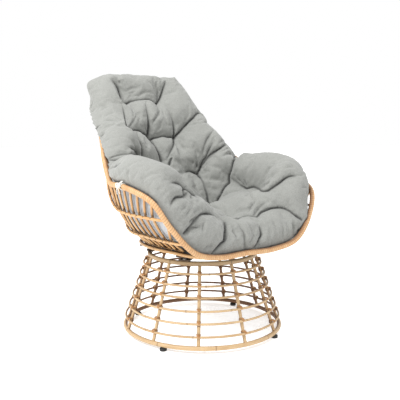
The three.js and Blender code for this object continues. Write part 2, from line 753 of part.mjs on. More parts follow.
// In front of the ribs the pad passes over the seat ring and the lower rod, or over the rim where they end
function frontSection(rimShare) {
  const pastJoint = (name) => (rimShare - rimJointShares[name]) / (frontRibShares.rim - rimJointShares[name]);
  const onPath = (path, name) => path.getPointAt((frontRibShares[name] * Math.max(pastJoint(name), 0)) / 2);
  const over = (point) => point.clone().lerp(bowlMiddle, padFootRoom / point.distanceTo(bowlMiddle));
  const edge = padRoll(rimShare, rimFrame(rimShare, upward));
  const footPlace = pastJoint("ring") > 0 ? onPath(ringCurve, "ring") : rimAt(rimShare);
  const shell = [over(footPlace)];
  if (pastJoint("lower") > 0) shell.push(over(onPath(lowerCurve, "lower")));
  shell.push(edge[0]);
  return padSection(footPlace, shell, edge, padSlope(edge[edge.length - 1]));
}

const rightSections = [...padFrontShares.map(frontSection), ...legs.map((_, index) => ribSection(index))];
const leftSections = rightSections.slice(1).reverse().map((points) => points.map(flip));
const around = [...rightSections, ...leftSections];
const padLevels = around[0].map((_, level) => around.map((points) => points[level]));

// Sewn tufts, and the creases between them, draw the skin in
const creaseRows = creaseShares.map((row) => row.map((end) => tuftShares[end] ?? end));
const creases = creaseRows.flatMap((row) => row.slice(1).map((next, i) => {
  return { line: new THREE.Line3(place(row[i]), place(next)), shares: [row[i][3], next[3]] };
}));
function creaseDepth(point) {
  const depths = creases.map(({ line, shares }) => {
    const along = line.closestPointToPointParameter(point, true);
    const gap = line.at(along, new THREE.Vector3()).distanceTo(point);
    const nearness = Math.max(1 - (gap / creaseReach) ** 2, 0) ** 2;
    return padThickness * THREE.MathUtils.lerp(...shares, along) * nearness;
  });
  return Math.max(...depths);
}
function creased(geometry, firstOnTop) {
  geometry.computeVertexNormals();
  const { position, normal } = geometry.attributes;
  for (let i = firstOnTop; i < position.count; i++) {
    const point = new THREE.Vector3().fromBufferAttribute(position, i);
    const outward = new THREE.Vector3().fromBufferAttribute(normal, i);
    point.addScaledVector(outward, -creaseDepth(point));
    position.setXYZ(i, point.x, point.y, point.z);
  }
  return toGeometry(toSolid(geometry).simplify(padFlatness));
}
const levelsBelowCrest = padLevels.length - padTopRings - padCreasedRollRings;
const frontCaneRoom = hairpin(legs[0], legs[1], ribRadius + clearance);
const padBody = cut(
  creased(skin(padLevels, [padPole, padTop]), levelsBelowCrest * around.length),
  rimRoom,
  rodBody(ringCurve, seatRingTube + clearance),
  rodBody(lowerCurve, rodRadius + clearance),
  frontCaneRoom,
  frontCaneRoom.clone().scale(-1, 1, 1),
);
seat.add(piece("cushion", padBody, greyCloth()));

// The whole chair, with the middle of its bounding box over the origin
const chair = new THREE.Group();
chair.add(stand, seat);
const box = new THREE.Box3().setFromObject(chair, true);
const middle = box.getCenter(new THREE.Vector3());
chair.position.set(-middle.x, -middle.y, -box.min.z);

export default chair;
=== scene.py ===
import json
import math
import random

import bmesh
import bpy
import numpy as np
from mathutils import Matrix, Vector, noise
from mathutils.bvhtree import BVHTree
from mathutils.kdtree import KDTree


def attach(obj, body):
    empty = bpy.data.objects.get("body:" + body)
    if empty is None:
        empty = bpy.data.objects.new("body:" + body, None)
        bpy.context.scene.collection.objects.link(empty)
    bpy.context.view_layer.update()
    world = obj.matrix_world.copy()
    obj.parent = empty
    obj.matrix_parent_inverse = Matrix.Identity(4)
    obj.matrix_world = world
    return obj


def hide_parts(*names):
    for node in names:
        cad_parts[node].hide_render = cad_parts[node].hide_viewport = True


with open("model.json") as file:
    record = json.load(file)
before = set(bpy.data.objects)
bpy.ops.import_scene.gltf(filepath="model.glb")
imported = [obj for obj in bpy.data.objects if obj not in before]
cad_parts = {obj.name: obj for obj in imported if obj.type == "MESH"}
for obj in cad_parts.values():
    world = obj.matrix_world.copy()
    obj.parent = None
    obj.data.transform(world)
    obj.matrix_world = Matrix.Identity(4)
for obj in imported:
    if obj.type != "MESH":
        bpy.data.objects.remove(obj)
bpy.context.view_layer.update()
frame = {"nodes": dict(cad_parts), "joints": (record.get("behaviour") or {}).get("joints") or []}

MM = 0.001
AXIS = np.array([0.0, frame["joints"][0]["pos_m"][1], 0.0])
UP = np.array([0.0, 0.0, 1.0])

# Camera, solved from the photograph
CAMERA_AZIMUTH = 36.0
CAMERA_TURN = -0.2323
CAMERA_PITCH = 6.503
CAMERA_DISTANCE = 2.18083
CAMERA_HEIGHT = 0.74625
CAMERA_LENS = 51.294
CAMERA_SENSOR = 36.0

# Studio: each light's place, size across and power
WORLD_STRENGTH = 1.0
FLOOR_GLOW = 0.42
FLOOR_HALF = 30
LIGHT_TARGET = (0, 0, 0.45)
LIGHTS = {
    "key": ((-2.5, -0.5, 3.0), 1.3, 122),
    "top": ((0.3, -0.9, 3.0), 1.4, 20),
}

# Stand, as in part.mjs
FOOT_COUNT = 4
FIRST_FOOT_ANGLE = -62.9
FOOT_PROFILE = [
    (0, 0), (0.0105, 0), (0.0122, 0.0006), (0.013, 0.002), (0.013, 0.0066), (0.0126, 0.0084),
    (0.0112, 0.0104), (0.009, 0.011), (0.0048, 0.0111), (0.0045, 0.0135), (0.0045, 0.0218), (0, 0.022),
]
FLOOR_RING_RADIUS = 0.3
RING_TUBE = 0.008
FLOOR_RING_HEIGHT = 0.0193
TOP_RING_RADIUS = 0.204
TOP_RING_HEIGHT = 0.294
BAND_SQUARENESS = 3.2
UPRIGHT_RADIUS = 0.006
UPRIGHT_COUNT = 11
FIRST_UPRIGHT_ANGLE = -30.3
UPRIGHT_INSET_SHARE = 0.6
HOOP_TUBE = 0.004
HOOP_HEIGHT_SHARES = [0.197, 0.337, 0.473, 0.621, 0.751, 0.887]
CLEARANCE = 0.0003
ARM_ANGLE = 36
ARM_TOP = 0.3073
BOLT_HEAD_RADIUS = 0.007
BOLT_HEAD_HEIGHT = 0.004
BOLT_HEAD_SHARES = [
    (1, 0), (1, 0.35), (0.93, 0.62), (0.74, 0.88), (0.5, 1), (0.42, 0.98), (0.38, 0.45), (0, 0.42),
]
BOLT_SHANK_RADIUS = 0.003
BOLT_SHANK_DEPTH = 0.014

# Basket, as in part.mjs
RIM_RADIUS = 0.010
ROD_RADIUS = 0.005
SEAT_RING_TUBE = 0.007
RIB_RADIUS = 0.0045
RIB_COUNT = 22
HALF_WIDTH = 0.387
BACK_REACH = 0.512
BASKET_HEIGHT = 0.592
SEAT_RING_HEIGHT = 0.3338
RIB_SLACK = 0.0007
TIE_RIB = 5
TIE_SHIFT = -0.015
RIM_SHARES = [
    (0, -0.525, 0.004), (0.32, -0.533, 0.004), (0.592, -0.547, 0.049), (0.806, -0.516, 0.193),
    (0.928, -0.441, 0.336), (0.997, -0.184, 0.406), (0.961, 0.059, 0.411), (0.904, 0.186, 0.443),
    (0.804, 0.4, 0.543), (0.703, 0.582, 0.646), (0.641, 0.719, 0.74), (0.584, 0.85, 0.845),
    (0.47, 0.953, 0.943), (0.271, 0.992, 0.987), (0, 1, 1),
]
UPPER_ROD_SHARES = [
    (0.904, -0.4, 0.244), (0.925, -0.254, 0.245), (0.92, -0.088, 0.245), (0.891, 0.098, 0.259),
    (0.814, 0.313, 0.338), (0.685, 0.518, 0.45), (0.439, 0.713, 0.561), (0, 0.811, 0.625),
]
LOWER_ROD_SHARES = [
    (0.711, -0.449, 0.1), (0.724, -0.293, 0.098), (0.726, -0.078, 0.097), (0.713, 0.117, 0.098),
    (0.641, 0.293, 0.119), (0.512, 0.459, 0.166), (0.297, 0.601, 0.237), (0, 0.654, 0.274),
]
SEAT_RING_SHARES = [
    (0.413, -0.465, 0), (0.483, -0.375, 0), (0.517, -0.234, 0), (0.556, -0.054, 0), (0.561, 0.084, 0),
    (0.538, 0.186, 0), (0.476, 0.304, 0), (0.323, 0.414, 0), (0, 0.469, 0),
]
RIM_JOINT_SHARES = {"upper": 0.256, "lower": 0.188, "ring": 0.078}
RIB_START_SHARES = {"rim": 0.306, "upper": 0.066, "lower": 0.148, "ring": 0.27}
RIB_CROWD_SHARES = {"rim": 0.35, "upper": 0.11, "lower": -0.28, "ring": -0.25}
FRONT_RIB_SHARES = {"rim": 0.247, "lower": 0.1, "ring": 0.225}
BOWL_MIDDLE_SHARE = -0.08
RIB_LEG_STEPS = 2

# Rattan: how a cane is divided, its wobbles as size and count, the rings and swelling at its nodes, and
# the peel wound round the rim
CANE_SIDES = 14
CANE_STATION = 0.009
CANE_NODE_GAP = 0.19
CANE_WOBBLES = [(0.012, 3), (0.01, 7)]
CANE_NODE_SWELL = 0.09
CANE_NODE_REACH = 0.004
CANE_NODE_DIP = 0.05
CANE_DIP_REACH = 0.0012
CANE_MARK_REACH = 0.0013
CANE_NODE_RINGS = (-0.005, -0.0025, -0.0008, 0, 0.0008, 0.0025, 0.005)
CANE_NODE_ROOM = 0.006
CANE_END_ROOM = 0.02
# Painted shade on the side of a cane that faces into the stand or basket begins and is full at these shares
# of facing inward
INNER_SHADE_FACING = (-0.25, 0.45)
# Painted shadow on a rib above each rod it passes behind: its reach, and how far above the rod's surface it
# lies
JOINT_SHADOW_REACH = 0.0082
JOINT_SHADOW_RISE = 0.004
RIM_SIDES = 20
WRAP_PITCH = 0.0085
WRAP_PROFILE = [(0.0, 1.0), (0.1, 0.25), (0.3, 0.0), (0.7, 0.0), (0.9, 0.25)]
WRAP_SINK = 0.0002
WRAP_UNEVEN = 0.00012
WRAP_GROOVE = 0.0011
WRAP_SLANT = 0.0022
WRAP_GROOVE_SHADE = 0.95
WRAP_INNER_SHADE = 0.75
RIB_END_SHARE = 0.5
STRAND_RADIUS = 0.0009
STRAND_SIDES = 6
NAIL_RADIUS = 0.0019
NAIL_PROFILE = [(0, -0.001), (1, -0.0008), (1, 0.0002), (0.8, 0.0007), (0.4, 0.001), (0, 0.0011)]
NAIL_LIFT = 0.0004
NAIL_OUTWARD = 0.55
NAIL_UPWARD = 0.85

# Lashings: an angle in degrees, then lifts, a pitch and a rise as shares of a strand's radius
LASHING_TURNS = 3
LASHING_ANGLE = 42
LASHING_LIFTS = (0.9, 1.9)
LASHING_PITCH = 2.1
LASHING_UNEVEN = 0.0002
LASHING_END_RISE = 2.4
LASHING_END_LIFT = 0.8
LASHING_END_TILT = 0.12
# Painted shade on the side of the lashings that faces into the stand: its strength, and how far outside the
# uprights' middle it begins, in metres
LASHING_SHADE = 0.9
LASHING_SHADE_START = 0.002

# Pad. Reaches, gaps and rooms are in metres. In each PIN pair the simulation's hold begins at the first
# value and is full at the second. A slit ends at SLIT_END reaches, and a pleat at PLEAT_END widths.
PAD_VOXEL = 0.0065
PAD_SMOOTH_ROUNDS = 24
SMOOTH_INWARD = 0.6
SMOOTH_OUTWARD = 0.58
NORMAL_SMOOTH_ROUNDS = 6
CLOTH_SETTINGS = {
    "quality": 5, "mass": 0.25, "tension_stiffness": 12, "compression_stiffness": 12, "shear_stiffness": 4,
    "bending_stiffness": 0.25, "use_pressure": True, "uniform_pressure_force": 4.0, "shrink_min": -0.045,
}
PAD_FRAMES = 20
PAD_MOVE_CAP = 0.024
PIN_RIBS = (0.045, 0.030)
PIN_RIM = (0.030, 0.020)
PIN_LOW = (0.355, 0.345)
PIN_CREASE = (0.014, 0.004)
CREASE_REACH = 0.030
CREASE_BROAD_SHARE = 0.7
DEEP_CREASE = 0.006
SLIT_REACH = 0.0031
SLIT_END = 5
SLIT_SHARE = 0.92
FOLD_REACH = 0.014
FOLD_SHARE = 1.3
FOLD_POWER = 1.6
# Painted shade at the bottoms of creases and folds: its reach, and the depths at which it begins and is
# full
CREASE_SHADE_REACH = 0.0036
CREASE_SHADE_DEPTHS = (0.002, 0.013)
PLEAT_COUNT = 190
PLEAT_SLANT = 0.4
PLEAT_MIDDLES = (0.035, 0.085)
PLEAT_HALVES = (0.014, 0.034)
PLEAT_WIDTHS = (0.0035, 0.008)
PLEAT_DEPTHS = (0.0008, 0.0028)
PLEAT_END = 6
CRUMPLE = [(0.0013, 26), (0.0006, 75)]
# The side of the pad that faces the ribs: how near them it lies, where the points along them start and
# their step, and the fade and depth below the rim of its paler cloth
RIB_FACING_GAP = 0.036
SHELL_START = 0.025
SHELL_STEP = 0.008
PALER_FADE = 0.006
PALER_BELOW_RIM = (0.001, 0.005)
FINE_REACH = 0.008
LINE_STEP = 0.002
# Painted shade under the pad: the height below which it lies where the pad faces the ribs, and its fade
UNDERSIDE_SHADE_TOP = 0.394
UNDERSIDE_SHADE_FADE = 0.008
# Painted contact shadow on the cloth along the rim: how near the rim it lies, its fade and its strength
RIM_SHADOW_GAP = 0.0175
RIM_SHADOW_FADE = 0.004
RIM_SHADOW_STRENGTH = 0.9
RIM_SAMPLES = 900
RIB_SAMPLES = 60
ROD_SAMPLES = 500
RIM_ROOM = 0.003
RIB_ROOM = 0.0012
ROD_ROOM = 0.001

# The photograph's frame: half its side, and the distances in cm at which a line of sight is searched
PHOTO_HALF = 200
SIGHT_RANGE = (140, 320)

# Where the pad's stuffing pushes its outline out or in: a place in the photograph's frame, the move
# across and up in the same units, and the reach in metres
PULLS = [
    (103, 87, -13, 3.5, 0.055), (183, 83, -5.2, -0.6, 0.054), (198, 114, 5.6, 0, 0.052),
    (243, 158, 0, 5.5, 0.032), (281, 156, 0, -4, 0.050), (300, 166, -1, -7, 0.042),
    (302, 219, 4.2, 0, 0.046),
]

# Creases of the pad as they lie in the photograph's frame of 400 x 400: x, y, and the depth in mm.
# A line of sight through each place finds where it lies on the pad.
CREASES = {
    "top_left": [(112.5, 79.5, 4), (116, 84, 8), (119, 89, 11), (121, 95, 14), (122.5, 99.5, 16),
        (126.5, 102.5, 14)],
    "back_top": [(126.5, 102.5, 14), (131, 100.5, 9), (137, 99, 8), (145, 98.3, 8), (151, 99, 10),
        (154.5, 101, 13), (157, 102.5, 17)],
    "top_right": [(157, 102.5, 17), (158.5, 99.5, 14), (161.5, 94, 12), (163.8, 88, 10), (165.5, 82.5, 7),
        (166.5, 80, 3)],
    "upper_left": [(122.5, 104, 3), (124, 109, 7), (126, 116, 10), (127.3, 121, 12), (128.5, 125, 13),
        (131, 128, 11)],
    "back_left": [(131, 128, 11), (136, 129.3, 10), (140, 130, 10), (144, 132.5, 12), (147.5, 135.5, 15),
        (150.5, 138.5, 18)],
    "back_fold": [(146, 103, 3), (147.3, 110, 6), (148.5, 117, 9), (149.2, 124, 11), (149, 130, 13),
        (148.5, 135, 15)],
    "upper_right": [(169.5, 112, 3), (172, 118, 6), (174, 124, 9), (174.7, 130, 12), (174.9, 136.5, 17)],
    "back_middle": [(150.5, 138.5, 18), (153, 137.8, 12), (158, 136.8, 10), (163, 135.5, 9),
        (168, 136.2, 11), (172, 136.3, 13), (174.9, 136.8, 17)],
    "edge_upper": [(174.9, 136.8, 17), (180, 131.5, 13), (185.5, 125, 13), (190, 120, 13), (195, 115.5, 12),
        (200, 112, 10), (202.5, 114.5, 7)],
    "lower_left": [(150.5, 138.5, 18), (155, 144, 10), (158, 149, 11), (160.2, 154, 13), (162, 160, 15)],
    "lower_right": [(174.9, 136.8, 17), (174.5, 143, 10), (172.5, 148, 9), (169.5, 154, 7), (167, 160, 4)],
    "roll_left": [(137, 134, 3), (140.5, 140, 8), (143, 146, 12), (143.5, 152, 14), (143.5, 157, 15)],
    "roll_low": [(107.5, 158.5, 4), (111, 156.5, 7), (116, 155, 7), (122, 153.8, 7), (129, 153.3, 6),
        (134, 153.3, 7), (139, 155, 8), (141, 156.5, 8)],
    "arm_end": [(108.5, 172, 12), (109.5, 168, 13), (112, 165.8, 12), (117, 164.3, 9), (120, 163, 3)],
    "waist": [(184.5, 173.5, 2), (187, 171.8, 8), (190, 171.3, 9), (193.5, 172, 12), (197.5, 172.7, 18)],
    "edge_middle": [(197.5, 172.7, 18), (201, 166, 11), (205, 160, 10), (208.5, 156, 10), (212, 153, 11),
        (216, 150.5, 12), (220.5, 147.5, 12), (225, 144.5, 11), (226.5, 143, 8)],
    "edge_inner": [(199.5, 168, 12), (203, 161, 10), (206, 157, 9), (209, 150, 8), (211.5, 145.5, 4),
        (213, 143.5, 2)],
    "seat_back": [(197.5, 172.7, 18), (200.5, 178, 7), (203, 183, 7), (205, 188.5, 8), (206.8, 195, 10),
        (208, 201, 12), (209.5, 205.5, 16)],
    "seat_side": [(209.5, 205.5, 16), (212, 204, 12), (215, 202.5, 14), (217, 198.5, 13),
        (219.5, 194.5, 12), (222, 189.5, 12), (225, 185, 13), (228, 181.7, 16)],
    "notch": [(228, 181.7, 16), (228, 176, 12), (229.5, 171, 12), (231, 166, 12), (232.5, 161, 12),
        (234.5, 157, 11), (237, 154.8, 7)],
    "arm_root": [(229.5, 178, 4), (234, 181, 6), (238, 183.5, 7), (242, 186, 10), (246, 187.2, 13),
        (252, 186.5, 10), (257, 188, 9), (262, 190, 9), (268, 190, 10), (272, 187.5, 10), (277, 184, 11),
        (281, 181, 12), (285, 178, 11), (290, 175.8, 10), (295, 175.3, 7), (297.5, 175.8, 2)],
    "seat_front": [(257.5, 215, 9), (260.5, 211.5, 11), (265, 209.3, 12), (271, 207.5, 12),
        (278, 207.2, 11), (284, 208, 10), (290, 210.8, 9), (295, 214.3, 10), (299, 217, 12), (303, 220, 9)],
    "front_edge": [(222, 215.5, 4), (228, 215.8, 6), (233, 216.8, 9), (236.5, 217.3, 11), (241, 216, 7),
        (247, 215, 6), (252, 215, 7), (257.5, 215, 9)],
    "front_left": [(225, 221.5, 9), (226, 226, 12), (226.3, 232, 13), (226, 238, 14), (223.5, 243, 14),
        (219.5, 247.5, 12), (215.5, 251.5, 9), (212, 255, 5)],
    "front_right": [(258.5, 224, 4), (261, 228, 8), (262.3, 232, 11), (262, 236, 12), (260.5, 240, 12),
        (258.5, 244, 10), (255, 248, 6)],
    "arm_pinch": [(187, 186.5, 5), (185, 189, 10), (184.5, 191.5, 12), (186, 193.5, 10), (188, 192.5, 6)],
    "arm_fold": [(172, 204.5, 4), (173.5, 200.5, 8), (176.5, 197.5, 11), (180, 196, 12), (184, 195.5, 11),
        (186.5, 194, 8)],
}
# Folds, which are shallower and softer than creases, by the part of the pad that they lie on
FOLDS = {
    "top": [
        [(157.8, 99, 7), (158, 93, 6), (157.3, 89, 4), (155.5, 84, 2)],
        [(160.3, 79, 4), (161, 83, 4), (162, 86, 2)], [(118, 79, 3), (120, 83, 5), (121.5, 85, 2)],
        [(143, 79, 1), (148, 83, 3), (152, 88, 3), (154, 93, 1)],
    ],
    "upper": [
        [(131, 107, 3), (132.5, 112, 5), (133, 117, 3)], [(131, 127, 7), (133.5, 121, 5), (136, 115, 2)],
        [(159.5, 109, 3), (157.5, 115, 7), (154.5, 120.5, 7), (152.5, 125, 2)],
        [(160.5, 107, 2), (162, 112, 5), (164, 118, 4), (166.5, 124, 4), (168.5, 128, 2)],
        [(142, 121, 2), (145, 127, 4), (147.5, 132, 5)],
    ],
    "low": [
        [(175.5, 152, 2), (173, 157, 7), (170.5, 162, 10), (168.8, 166, 11)],
        [(176.5, 143, 4), (178.5, 149, 6), (180.5, 155, 5), (182.5, 160, 4), (184.5, 163, 2)],
        [(178, 141, 3), (182, 147, 4), (186, 153, 1)],
    ],
    "roll": [
        [(103, 122, 3), (108, 121, 5), (114, 121, 4), (119, 121.5, 3)],
        [(94.5, 128.5, 8), (97, 126.5, 7), (100.5, 125, 2)],
        [(100, 137, 9), (102.5, 133.5, 8), (105, 131.5, 2)],
        [(129.5, 147.3, 3), (133, 148.5, 9), (137, 151.5, 10), (140, 155, 9)],
        [(106.5, 163.5, 6), (108.5, 161, 3)], [(112, 117, 3), (117, 118, 4), (121, 120, 3)],
    ],
    "edge": [
        [(89.5, 101, 5), (92, 99.5, 2)], [(91, 106, 5), (93, 103, 2)], [(92, 111, 4), (95, 109, 2)],
        [(91, 90, 3), (94, 88.5, 2)],
    ],
    "arm": [
        [(127.5, 170.5, 4), (127.8, 173.5, 4)], [(126.5, 175, 2), (128, 179, 3), (130, 183, 2)],
        [(142.5, 178, 2), (143.3, 184, 4), (144.5, 189, 2)], [(115, 178, 3), (120, 174, 2), (124, 171, 1)],
        [(148, 187, 2), (149, 193, 3)],
    ],
    "waist": [
        [(196.5, 152, 2), (196.7, 160, 4), (197.3, 167, 7)], [(188, 160, 1), (193, 164, 3), (196, 169, 4)],
    ],
    "wing": [
        [(203, 163, 5), (208, 158, 6), (213, 153.8, 5), (218, 151, 2)],
        [(202.5, 158, 2), (203.5, 152, 4), (204.5, 147.5, 5), (206, 142.5, 6), (208.5, 137, 7),
         (211.5, 132.5, 5), (213, 131, 2)],
        [(209, 127, 4), (211.5, 129.5, 5)], [(231, 153.5, 6), (226, 154.5, 5), (222, 157, 2)],
        [(222.5, 140.5, 6), (219.5, 143, 2)], [(202, 168, 4), (206, 164.5, 4), (211, 161, 2)],
        [(200, 125, 2), (204, 123.5, 4), (208, 122.5, 4)],
        [(218, 153, 2), (224, 149.5, 5), (228, 147.5, 5)],
    ],
    "right": [
        [(242.5, 172, 2), (243.5, 179, 4), (245, 185, 6)], [(235, 176, 2), (239, 181, 4), (243, 185, 4)],
        [(285, 168.5, 2), (289, 167.5, 4), (293, 168, 3)], [(249, 159, 2), (253, 157, 3)],
        [(302, 188, 4), (306, 187.5, 5)], [(289, 164, 2), (292, 166.5, 4)],
        [(284, 177.5, 1), (289, 178.5, 3), (294, 178, 2)],
    ],
    "seat": [
        [(248, 212, 4), (251, 208, 6), (254, 203.5, 5), (256.5, 200.5, 2)],
        [(255, 214, 5), (258, 210, 5), (263, 205, 4), (268, 202, 2)],
        [(222, 207, 1), (224, 211, 3), (225, 214, 4)],
    ],
    "front": [
        [(231, 225, 4), (233.5, 231, 6), (236, 236.5, 6), (238, 240, 2)],
        [(237, 223, 3), (241, 229, 6), (244, 235, 7), (245.3, 241, 7), (245.5, 249, 4)],
        [(247, 224, 3), (251, 230, 5), (252, 236, 2)], [(272, 220, 2), (274, 225, 4), (277, 231, 3)],
        [(281, 224, 3), (283, 229, 5), (283, 235, 4), (285, 240, 2)],
        [(293, 222, 4), (294.5, 228, 6), (294, 234, 4)], [(299, 225, 3), (298, 231, 4)],
        [(249, 244, 3), (252, 240, 5), (254, 235, 3)], [(287, 226, 2), (288, 232, 3), (287, 238, 2)],
    ],
    "near": [
        [(190.5, 222, 6), (194.5, 219.5, 8), (198, 217, 6), (201, 214, 2)],
        [(191, 227.5, 5), (196, 227, 8), (200.5, 225.5, 3)], [(202, 230, 5), (203, 225, 6), (205, 221, 2)],
        [(194.5, 212.5, 5), (198, 210, 4), (202, 208.5, 2)],
        [(184, 217, 2), (187, 213, 5), (189.5, 210, 4)], [(191, 197.5, 6), (193, 194, 3)],
        [(203, 250, 2), (207, 247.5, 5), (211, 246.5, 4)], [(182, 210, 2), (184.5, 207.5, 4)],
        [(193, 189, 3), (196, 185.5, 4)],
    ],
}
# Creases that are repeated on the half of the pad that the photograph doesn't show
MIRRORED_CREASES = ["waist", "seat_back", "seat_side", "notch", "arm_root", "seat_front", "edge_inner"]

# Ties, in mm: each winding's start, rise and radius, the knot's middle, each loop's phase and size, the
# loops' half sizes and bend, and each tail's lean, fall and curl
TIE_WINDINGS = [(-3.5, 4.5, 11.2), (3.0, -4.0, 12.0)]
KNOT_OUT, KNOT_ACROSS = 17, 5
TIE_LOOPS = [(0.0, 1.0), (1.9, 0.85)]
LOOP_OUT, LOOP_ACROSS, LOOP_ALONG = 4.2, 6.8, 5.2
LOOP_BEND, LOOP_PHASE = 1.2, 1.2
TIE_TAILS = [(11, -29, 3), (-6, -25, -3)]
# The tape's widths and thicknesses in metres, and its section in shares of them
WINDING_WIDTH, LOOP_WIDTH, TAIL_WIDTH, RUN_WIDTH = 0.0085, 0.0075, 0.008, 0.010
TAPE_THICKNESS, LOOP_THICKNESS = 0.0012, 0.0022
TAPE_SECTION = [
    (-0.5, 0), (-0.46, 0.5), (-0.2, 0.5), (0.2, 0.5), (0.46, 0.5), (0.5, 0), (0.46, -0.5), (0.2, -0.5),
    (-0.2, -0.5), (-0.46, -0.5),
]


# Curves

class Path:
    """A centripetal Catmull-Rom curve, walked by its length."""

    SPAN_STEPS = 64

    def __init__(self, points, loop=False):
        points = [np.array(p, float) for p in points]
        self.loop = loop
        spans = len(points) if loop else len(points) - 1
        last = points[0] if loop else points[-1]
        self.dense = np.vstack([self._span(points, i) for i in range(spans)] + [last[None]])
        steps = np.linalg.norm(np.diff(self.dense, axis=0), axis=1)
        self.walked = np.concatenate([[0.0], np.cumsum(steps)])
        self.length = self.walked[-1]

    def _span(self, points, i):
        n = len(points)
        p1, p2 = points[i % n], points[(i + 1) % n]
        if self.loop:
            p0, p3 = points[(i - 1) % n], points[(i + 2) % n]
        else:
            p0 = points[i - 1] if i > 0 else 2 * points[0] - points[1]
            p3 = points[i + 2] if i + 2 < n else 2 * points[-1] - points[-2]
        d0, d1, d2 = (max(np.linalg.norm(b - a) ** 0.5, 1e-6) for a, b in ((p0, p1), (p1, p2), (p2, p3)))
        m1 = ((p1 - p0) / d0 - (p2 - p0) / (d0 + d1) + (p2 - p1) / d1) * d1
        m2 = ((p2 - p1) / d1 - (p3 - p1) / (d1 + d2) + (p3 - p2) / d2) * d1
        t = (np.arange(self.SPAN_STEPS) / self.SPAN_STEPS)[:, None]
        return (
            (2 * t**3 - 3 * t**2 + 1) * p1 + (t**3 - 2 * t**2 + t) * m1
            + (-2 * t**3 + 3 * t**2) * p2 + (t**3 - t**2) * m2
        )

    def at_length(self, s):
        s = np.asarray(s, float)
        s = s % self.length if self.loop else np.clip(s, 0, self.length)
        return np.stack([np.interp(s, self.walked, self.dense[:, k]) for k in range(3)], -1)

    def at(self, share):
        return self.at_length(np.asarray(share, float) * self.length)

    def tangent(self, share):
        step = 1e-4
        ahead = self.at(share + step) if self.loop else self.at(min(share + step, 1))
        behind = self.at(share - step) if self.loop else self.at(max(share - step, 0))
        return unit(ahead - behind)

    def index_point(self, t):
        """The point at a share of the control points, as three.js getPoint gives it."""
        place = t * (len(self.dense) - 1)
        return np.array([np.interp(place, np.arange(len(self.dense)), self.dense[:, k]) for k in range(3)])


def unit(v):
    v = np.asarray(v, float)
    return v / np.maximum(np.linalg.norm(v, axis=-1, keepdims=True), 1e-12)


def smoothstep(low, high, x):
    t = np.clip((x - low) / (high - low), 0, 1)
    return t * t * (3 - 2 * t)


def circle(radius, height, centre=AXIS, steps=96):
    turns = np.arange(steps) / steps * 2 * math.pi
    points = np.stack([radius * np.cos(turns), radius * np.sin(turns), np.full(steps, height)], -1)
    return points + centre


# Meshes

def make_object(name, places, faces, attributes=None, smooth=True):
    mesh = bpy.data.meshes.new(name)
    mesh.from_pydata(np.asarray(places).tolist(), [], [list(map(int, f)) for f in faces])
    for key, values in (attributes or {}).items():
        values = np.asarray(values, np.float32)
        kind = "FLOAT" if values.ndim == 1 else "FLOAT_VECTOR"
        layer = mesh.attributes.new(key, kind, "POINT")
        layer.data.foreach_set("value" if values.ndim == 1 else "vector", values.ravel())
    mesh.polygons.foreach_set("use_smooth", [smooth] * len(mesh.polygons))
    mesh.update()
    obj = bpy.data.objects.new(name, mesh)
    bpy.context.scene.collection.objects.link(obj)
    return obj


def carried_frames(centres, loop):
    """A side and an across direction at each centre, turned as little as possible along the line."""
    count = len(centres)
    if loop:
        along = unit(np.roll(centres, -1, 0) - np.roll(centres, 1, 0))
    else:
        along = unit(np.gradient(centres, axis=0))
    side = np.cross(along[0], UP)
    if np.linalg.norm(side) < 1e-3:
        side = np.array([1.0, 0, 0])
    side = unit(side)
    sides = np.empty_like(centres)
    for i in range(count):
        side = unit(side - along[i] * side.dot(along[i]))
        sides[i] = side
    if loop:
        end = unit(side - along[0] * side.dot(along[0]))
        across = np.cross(along[0], sides[0])
        twist = math.atan2(end.dot(across), end.dot(sides[0]))
        turns = -twist * np.arange(count) / count
        acrosses = np.cross(along, sides)
        sides = sides * np.cos(turns)[:, None] + acrosses * np.sin(turns)[:, None]
    return along, sides, np.cross(along, sides)


def tube_faces(rings, sides, loop=False):
    """The faces between rings of points, with a cap at each end of an open tube."""
    faces = []
    for i in range(rings if loop else rings - 1):
        a, b = i * sides, (i + 1) % rings * sides
        faces += [(a + j, a + (j + 1) % sides, b + (j + 1) % sides, b + j) for j in range(sides)]
    if not loop:
        faces.append(list(range(sides))[::-1])
        faces.append([(rings - 1) * sides + j for j in range(sides)])
    return faces


def sweep(centres, radii, sides, loop=False, lengths=None, slants=None, profile=None):
    """Places, faces and the grain place of a round skin along a line of centres."""
    centres = np.asarray(centres, float)
    count = len(centres)
    along, side, across = carried_frames(centres, loop)
    turns = np.arange(sides) / sides * 2 * math.pi
    cos, sin = np.cos(turns), np.sin(turns)
    stretch = np.ones(sides) if profile is None else profile(turns)
    radii = np.broadcast_to(np.asarray(radii, float), (count,))[:, None] * stretch[None]
    places = (
        centres[:, None]
        + radii[..., None] * (cos[None, :, None] * side[:, None] + sin[None, :, None] * across[:, None])
    )
    if slants is not None:
        places += along[:, None] * (slants * sin)[None, :, None]
    if lengths is None:
        lengths = np.concatenate([[0], np.cumsum(np.linalg.norm(np.diff(centres, axis=0), axis=1))])
    grain = np.stack(np.broadcast_arrays(radii * cos, radii * sin, np.asarray(lengths)[:, None]), -1)
    return places.reshape(-1, 3), tube_faces(count, sides, loop), grain.reshape(-1, 3)


def joined(parts):
    """Several (places, faces, attributes) as one."""
    places, faces, attributes, start = [], [], {}, 0
    for part_places, part_faces, part_attributes in parts:
        places.append(part_places)
        faces += [[v + start for v in face] for face in part_faces]
        for key, values in part_attributes.items():
            attributes.setdefault(key, []).append(values)
        start += len(part_places)
    return np.vstack(places), faces, {key: np.concatenate(v) for key, v in attributes.items()}


# Materials

def new_material(name):
    material = bpy.data.materials.new(name)
    material.use_nodes = True
    tree = material.node_tree
    return material, tree, tree.nodes["Principled BSDF"]


